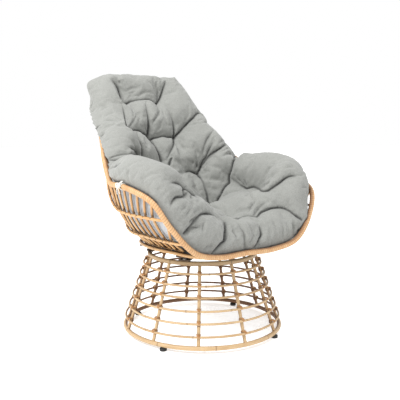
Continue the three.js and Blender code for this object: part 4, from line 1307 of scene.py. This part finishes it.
def pleat_depths(places, rim_index, rim_gap):
    """Fine pleats across the pad's border, where the cloth is gathered along its sewn edge."""
    rng = random.Random(31)
    total = np.zeros(len(places))
    around = RIM_PATH.length
    along = rim_index / RIM_SAMPLES * around
    for _ in range(PLEAT_COUNT):
        start, slant = rng.uniform(0, around), rng.uniform(-PLEAT_SLANT, PLEAT_SLANT)
        middle, half = rng.uniform(*PLEAT_MIDDLES), rng.uniform(*PLEAT_HALVES)
        width, depth = rng.uniform(*PLEAT_WIDTHS), rng.uniform(*PLEAT_DEPTHS)
        offset = along - start - slant * (rim_gap - middle)
        offset = np.abs((offset + around / 2) % around - around / 2)
        window = np.clip(1 - ((rim_gap - middle) / half) ** 2, 0, 1)
        total += depth * window * np.exp(-offset / width) * (offset < PLEAT_END * width)
    return total


def crumple(places):
    """A slight unevenness of the stuffing and the cloth."""
    return np.array([sum(height * noise.noise(Vector(p) * size) for height, size in CRUMPLE)
                     for p in places])


def nearest_index(points, places):
    """Which of the points is nearest to each place, and how far off it is."""
    tree = KDTree(len(points))
    for i, p in enumerate(points):
        tree.insert(p, i)
    tree.balance()
    found = [tree.find(p) for p in places]
    return np.array([f[1] for f in found]), np.array([f[2] for f in found])


def gap_to(points, places):
    return nearest_index(points, places)[1]


def both_sides(runs):
    """The points of several runs, and their mirror images."""
    points = np.vstack(runs)
    return np.vstack([points, points * [-1, 1, 1]])


def kept_clear(places, canes):
    """Moves places out of the room of each cane, given as points along it and a radius."""
    for points, room in canes:
        index, gap = nearest_index(points, places)
        inside = gap < room
        nearest = points[index[inside]]
        places[inside] = nearest + unit(places[inside] - nearest) * room
    return places


def simulate_pad(obj, pinned):
    """Blows the pad up a little inside a slightly larger cloth, so it wrinkles between its tufts."""
    group = obj.vertex_groups.new(name="pin")
    weights = np.round(pinned, 2)
    for weight in np.unique(weights):
        if weight > 0:
            group.add([int(i) for i in np.where(weights == weight)[0]], float(weight), "REPLACE")
    start, _ = mesh_arrays(obj.data)
    cloth = obj.modifiers.new("Cloth", "CLOTH")
    for key, value in CLOTH_SETTINGS.items():
        setattr(cloth.settings, key, value)
    cloth.settings.vertex_group_mass = "pin"
    cloth.settings.effector_weights.gravity = 0
    cloth.point_cache.frame_start = 1
    cloth.point_cache.frame_end = PAD_FRAMES
    for step in range(1, PAD_FRAMES + 1):
        bpy.context.scene.frame_set(step)
    graph = bpy.context.evaluated_depsgraph_get()
    moved, _ = mesh_arrays(bpy.data.meshes.new_from_object(obj.evaluated_get(graph)))
    obj.modifiers.remove(cloth)
    obj.vertex_groups.clear()
    bpy.context.scene.frame_set(1)
    shift = moved - start
    size = np.linalg.norm(shift, axis=1, keepdims=True)
    shift *= np.minimum(1, PAD_MOVE_CAP / np.maximum(size, 1e-9))
    set_places(obj.data, start + shift)


def finer_near(mesh, lines):
    """Halves the edges beside the creases."""
    places, _ = mesh_arrays(mesh)
    marked = np.zeros(len(places), bool)
    for rows, _ in lines:
        marked[line_gaps(places, rows, FINE_REACH)[0]] = True
    bm = bmesh.new()
    bm.from_mesh(mesh)
    chosen = [e for e in bm.edges if marked[e.verts[0].index] and marked[e.verts[1].index]]
    bmesh.ops.subdivide_edges(bm, edges=chosen, cuts=1, use_grid_fill=True)
    bm.to_mesh(mesh)
    bm.free()
    return mesh


def add_attribute(mesh, name, values):
    layer = mesh.attributes.new(name, "FLOAT", "POINT")
    layer.data.foreach_set("value", np.asarray(values, np.float32))


def pad_start():
    """The cushion's solid, remeshed, evened and pulled to its outline, with the lines on its skin."""
    mesh = modified(frame["nodes"]["cushion"].data.copy(), "REMESH", mode="VOXEL", voxel_size=PAD_VOXEL)
    places, edges = mesh_arrays(mesh)
    faces = [list(p.vertices) for p in mesh.polygons]
    places = smoothed(places, edges, PAD_SMOOTH_ROUNDS)
    places = reshaped(places, skin_tree(places, faces))
    set_places(mesh, places)
    return mesh, places, edges, crease_lines(skin_tree(places, faces))


def simulated_shifts(mesh, start, edges, lines, rib_points, rim_points):
    """The pad object, with its creases drawn in and its stuffing blown up, and how far each place moved."""
    depths, nearest = broad_depths(start, lines)
    places = start - unit(smoothed(vertex_normals(mesh), edges, NORMAL_SMOOTH_ROUNDS)) * depths[:, None]
    set_places(mesh, places)
    pinned = np.maximum.reduce([
        smoothstep(*PIN_RIBS, gap_to(rib_points, places)), smoothstep(*PIN_RIM, gap_to(rim_points, places)),
        smoothstep(*PIN_LOW, places[:, 2]), smoothstep(*PIN_CREASE, nearest),
    ])
    obj = bpy.data.objects.new("pad", mesh)
    bpy.context.scene.collection.objects.link(obj)
    simulate_pad(obj, pinned)
    return obj, mesh_arrays(obj.data)[0] - start


def add_shades(mesh, places, painted_shade, rim, rib_gap, shell_points):
    """Painted shade on the cloth, in its slits, along the rim and underneath, and where the cloth is paler,
    on the side that faces the ribs below the rim.
    """
    rim_points, rim_index, rim_gap = rim
    # Painted shade under the pad, where it faces the ribs below the lower rod
    underside_shade = smoothstep(UNDERSIDE_SHADE_TOP, UNDERSIDE_SHADE_TOP - UNDERSIDE_SHADE_FADE, places[:, 2])
    underside_shade *= rib_gap < RIB_FACING_GAP
    # Painted contact shadow where the cloth meets the rim
    rim_shadow = RIM_SHADOW_STRENGTH * smoothstep(RIM_SHADOW_GAP, RIM_SHADOW_GAP - RIM_SHADOW_FADE, rim_gap)
    add_attribute(mesh, "painted_shade", np.maximum.reduce([painted_shade, underside_shade, rim_shadow]))
    # Paler cloth on the side that faces the ribs, below the rim
    tangents = unit(np.roll(rim_points, -1, 0) - np.roll(rim_points, 1, 0))[rim_index]
    downward = unit(tangents * tangents[:, 2:] - UP)
    below = ((places - rim_points[rim_index]) * downward).sum(-1)
    near = smoothstep(RIB_FACING_GAP, RIB_FACING_GAP - PALER_FADE, gap_to(shell_points, places))
    add_attribute(mesh, "paler_cloth", near * smoothstep(*PALER_BELOW_RIM, below))


def build_pad(legs):
    leg_paths = [Path(samples) for samples, _ in legs]
    rib_points = both_sides([path.at(np.linspace(0, 1, RIB_SAMPLES)) for path in leg_paths])
    shell_points = both_sides([path.at_length(np.arange(SHELL_START, path.length, SHELL_STEP))
                               for path in leg_paths])
    rim_points = RIM_PATH.at(np.linspace(0, 1, RIM_SAMPLES, endpoint=False))
    mesh, start, edges, lines = pad_start()
    feet = np.split(nearest_index(start, np.vstack([rows[:, :3] for rows, _ in lines]))[0],
                    np.cumsum([len(rows) for rows, _ in lines])[:-1])
    obj, shifts = simulated_shifts(mesh, start, edges, lines, rib_points, rim_points)
    lines = [(carried_line(rows, index, shifts), is_crease)
             for (rows, is_crease), index in zip(lines, feet)]
    obj.data = fine = finer_near(modified(obj.data, "SUBSURF", levels=1, render_levels=1), lines)
    places, edges = mesh_arrays(fine)
    rim_index, rim_gap = nearest_index(rim_points, places)
    slits, painted_shade = slit_depths(places, lines)
    depths = slits + pleat_depths(places, rim_index, rim_gap) + crumple(places)
    rib_gap = gap_to(rib_points, places)
    places = places - unit(neighbour_mean(vertex_normals(fine), edges)) * depths[:, None]
    lower, ring = (path.at(np.linspace(0, 1, ROD_SAMPLES)) for path in (LOWER_PATH, RING_PATH))
    places = kept_clear(places, [
        (rim_points, RIM_RADIUS + RIM_ROOM), (rib_points, RIB_RADIUS + RIB_ROOM),
        (lower, ROD_RADIUS + ROD_ROOM), (ring, SEAT_RING_TUBE + ROD_ROOM),
    ])
    set_places(fine, places)
    add_shades(fine, places, painted_shade, (rim_points, rim_index, rim_gap), rib_gap, shell_points)
    fine.polygons.foreach_set("use_smooth", [True] * len(fine.polygons))
    dress(obj, "seat", "grey_cloth", GREY_CLOTH, "cushion")


# Ties

def ribbon(centres, normals, basis, width, thickness=TAPE_THICKNESS):
    """A flat tape with rounded edges, along centres in mm and square to the normals, both in a basis."""
    centres, normals = centres * MM @ basis, normals @ basis
    along = unit(np.gradient(centres, axis=0))
    normals = unit(normals - along * (normals * along).sum(-1, keepdims=True))
    across = np.cross(along, normals)
    places = np.vstack([
        c + np.array([w * width * a + h * thickness * n for w, h in TAPE_SECTION])
        for c, a, n in zip(centres, across, normals)
    ])
    return places, tube_faces(len(centres), len(TAPE_SECTION)), {}


def tie_parts(out, across, along):
    """Tape wound round the rim, a knot outside it, two tails, and the run back to the pad."""
    basis = np.array([out, across, along])
    parts = []
    for start, rise, radius in TIE_WINDINGS:
        turns = np.linspace(0, 2 * math.pi, 40)
        normals = np.stack([np.cos(turns), np.sin(turns), 0 * turns], -1)
        centres = radius * normals + np.outer(start + rise * turns / 6.28, [0, 0, 1])
        parts.append(ribbon(centres, normals, basis, WINDING_WIDTH))
    for phase, size in TIE_LOOPS:
        turns = np.linspace(0, 2 * math.pi, 36)
        centres = np.stack([
            KNOT_OUT + LOOP_OUT * size * np.cos(turns + phase) + LOOP_BEND * np.sin(2 * turns),
            KNOT_ACROSS + LOOP_ACROSS * size * np.sin(turns),
            LOOP_ALONG * size * np.sin(turns + LOOP_PHASE + phase),
        ], -1)
        normals = unit(centres - [KNOT_OUT, KNOT_ACROSS, 0])
        parts.append(ribbon(centres, normals, basis, LOOP_WIDTH, LOOP_THICKNESS))
    t = np.linspace(0, 1, 14)
    ones = np.ones(len(t))
    for lean, fall, curl in TIE_TAILS:
        centres = np.stack([18 + 5 * t - 9 * t**2, 3 + fall * t, lean * t + curl * np.sin(2.6 * t)], -1)
        normals = np.stack([ones, 0.3 * t, 0.5 * np.sin(3 * t)], -1)
        parts.append(ribbon(centres, normals, basis, TAIL_WIDTH))
    centres = np.stack([KNOT_OUT - 16 * t, 6 + 15 * t - 3 * t**2, 0 * t], -1)
    parts.append(ribbon(centres, np.stack([ones, 0.6 - 0.4 * t, 0 * t], -1), basis, RUN_WIDTH))
    return parts


def build_ties():
    share = (rib_share("rim", TIE_RIB) + rib_share("rim", TIE_RIB + 1)) / 2
    along = RIM_PATH.tangent(share / 2)
    centre = RIM_PATH.at_length(share / 2 * RIM_PATH.length + TIE_SHIFT)
    out = centre - BOWL_MIDDLE
    out[2] = 0
    out = unit(out - along * out.dot(along))
    across = np.cross(along, out)
    across *= np.sign(across[2])
    for name, side in (("tie_right", 1), ("tie_left", -1)):
        places, faces, _ = joined(tie_parts(out, across, along))
        places = (places + centre) * [side, 1, 1]
        faces = [face[::side] for face in faces]
        dress(make_object(f"{name}_tape", places, faces), "seat", "cotton", COTTON, name)


# Studio

def build_camera():
    data = bpy.data.cameras.new("camera")
    data.lens = CAMERA_LENS
    data.sensor_width = CAMERA_SENSOR
    camera = bpy.data.objects.new("camera", data)
    azimuth = math.radians(CAMERA_AZIMUTH)
    camera.location = (-CAMERA_DISTANCE * math.sin(azimuth),
                       AXIS[1] - CAMERA_DISTANCE * math.cos(azimuth), CAMERA_HEIGHT)
    camera.rotation_euler = (math.radians(90 - CAMERA_PITCH), 0,
                             -math.radians(CAMERA_AZIMUTH + CAMERA_TURN))
    bpy.context.scene.collection.objects.link(camera)
    bpy.context.scene.camera = camera


def build_light(name, place, size, power):
    data = bpy.data.lights.new(name, "AREA")
    data.shape = "DISK"
    data.size = size
    data.energy = power
    light = bpy.data.objects.new(name, data)
    light.location = place
    aim = Vector(LIGHT_TARGET) - Vector(place)
    light.rotation_euler = aim.to_track_quat("-Z", "Y").to_euler()
    bpy.context.scene.collection.objects.link(light)


def build_floor():
    """A pale floor with a faint glow, far wider than the view."""
    material, tree, shader = new_material("studio_floor")
    grit = scaled_noise(tree, object_place(tree), 3.0)
    values = {
        "Base Color": mix_colours(tree, grit, (0.93, 0.93, 0.925, 1), (0.95, 0.95, 0.945, 1)),
        "Roughness": 0.9, "Emission Color": (1, 1, 1, 1), "Emission Strength": FLOOR_GLOW,
    }
    for name, value in values.items():
        fill_socket(tree, shader.inputs[name], value)
    half = FLOOR_HALF
    floor = make_object("floor", [(-half, -half, 0), (half, -half, 0), (half, half, 0), (-half, half, 0)],
                        [(0, 1, 2, 3)], smooth=False)
    floor.data.materials.append(material)


def build_studio():
    world = bpy.data.worlds.new("studio")
    world.use_nodes = True
    background = world.node_tree.nodes["Background"]
    background.inputs[0].default_value = (1, 1, 1, 1)
    background.inputs[1].default_value = WORLD_STRENGTH
    bpy.context.scene.world = world
    for name, (where, size, power) in LIGHTS.items():
        build_light(name, where, size, power)
    build_floor()
    bpy.context.scene.view_settings.view_transform = "Standard"


build_camera()
build_studio()
build_stand_canes()
build_lashings()
build_feet()
build_bolts()
dress_cad_nodes()
build_rods()
build_rim()
rib_legs = build_ribs()
build_pad(rib_legs)
build_ties()
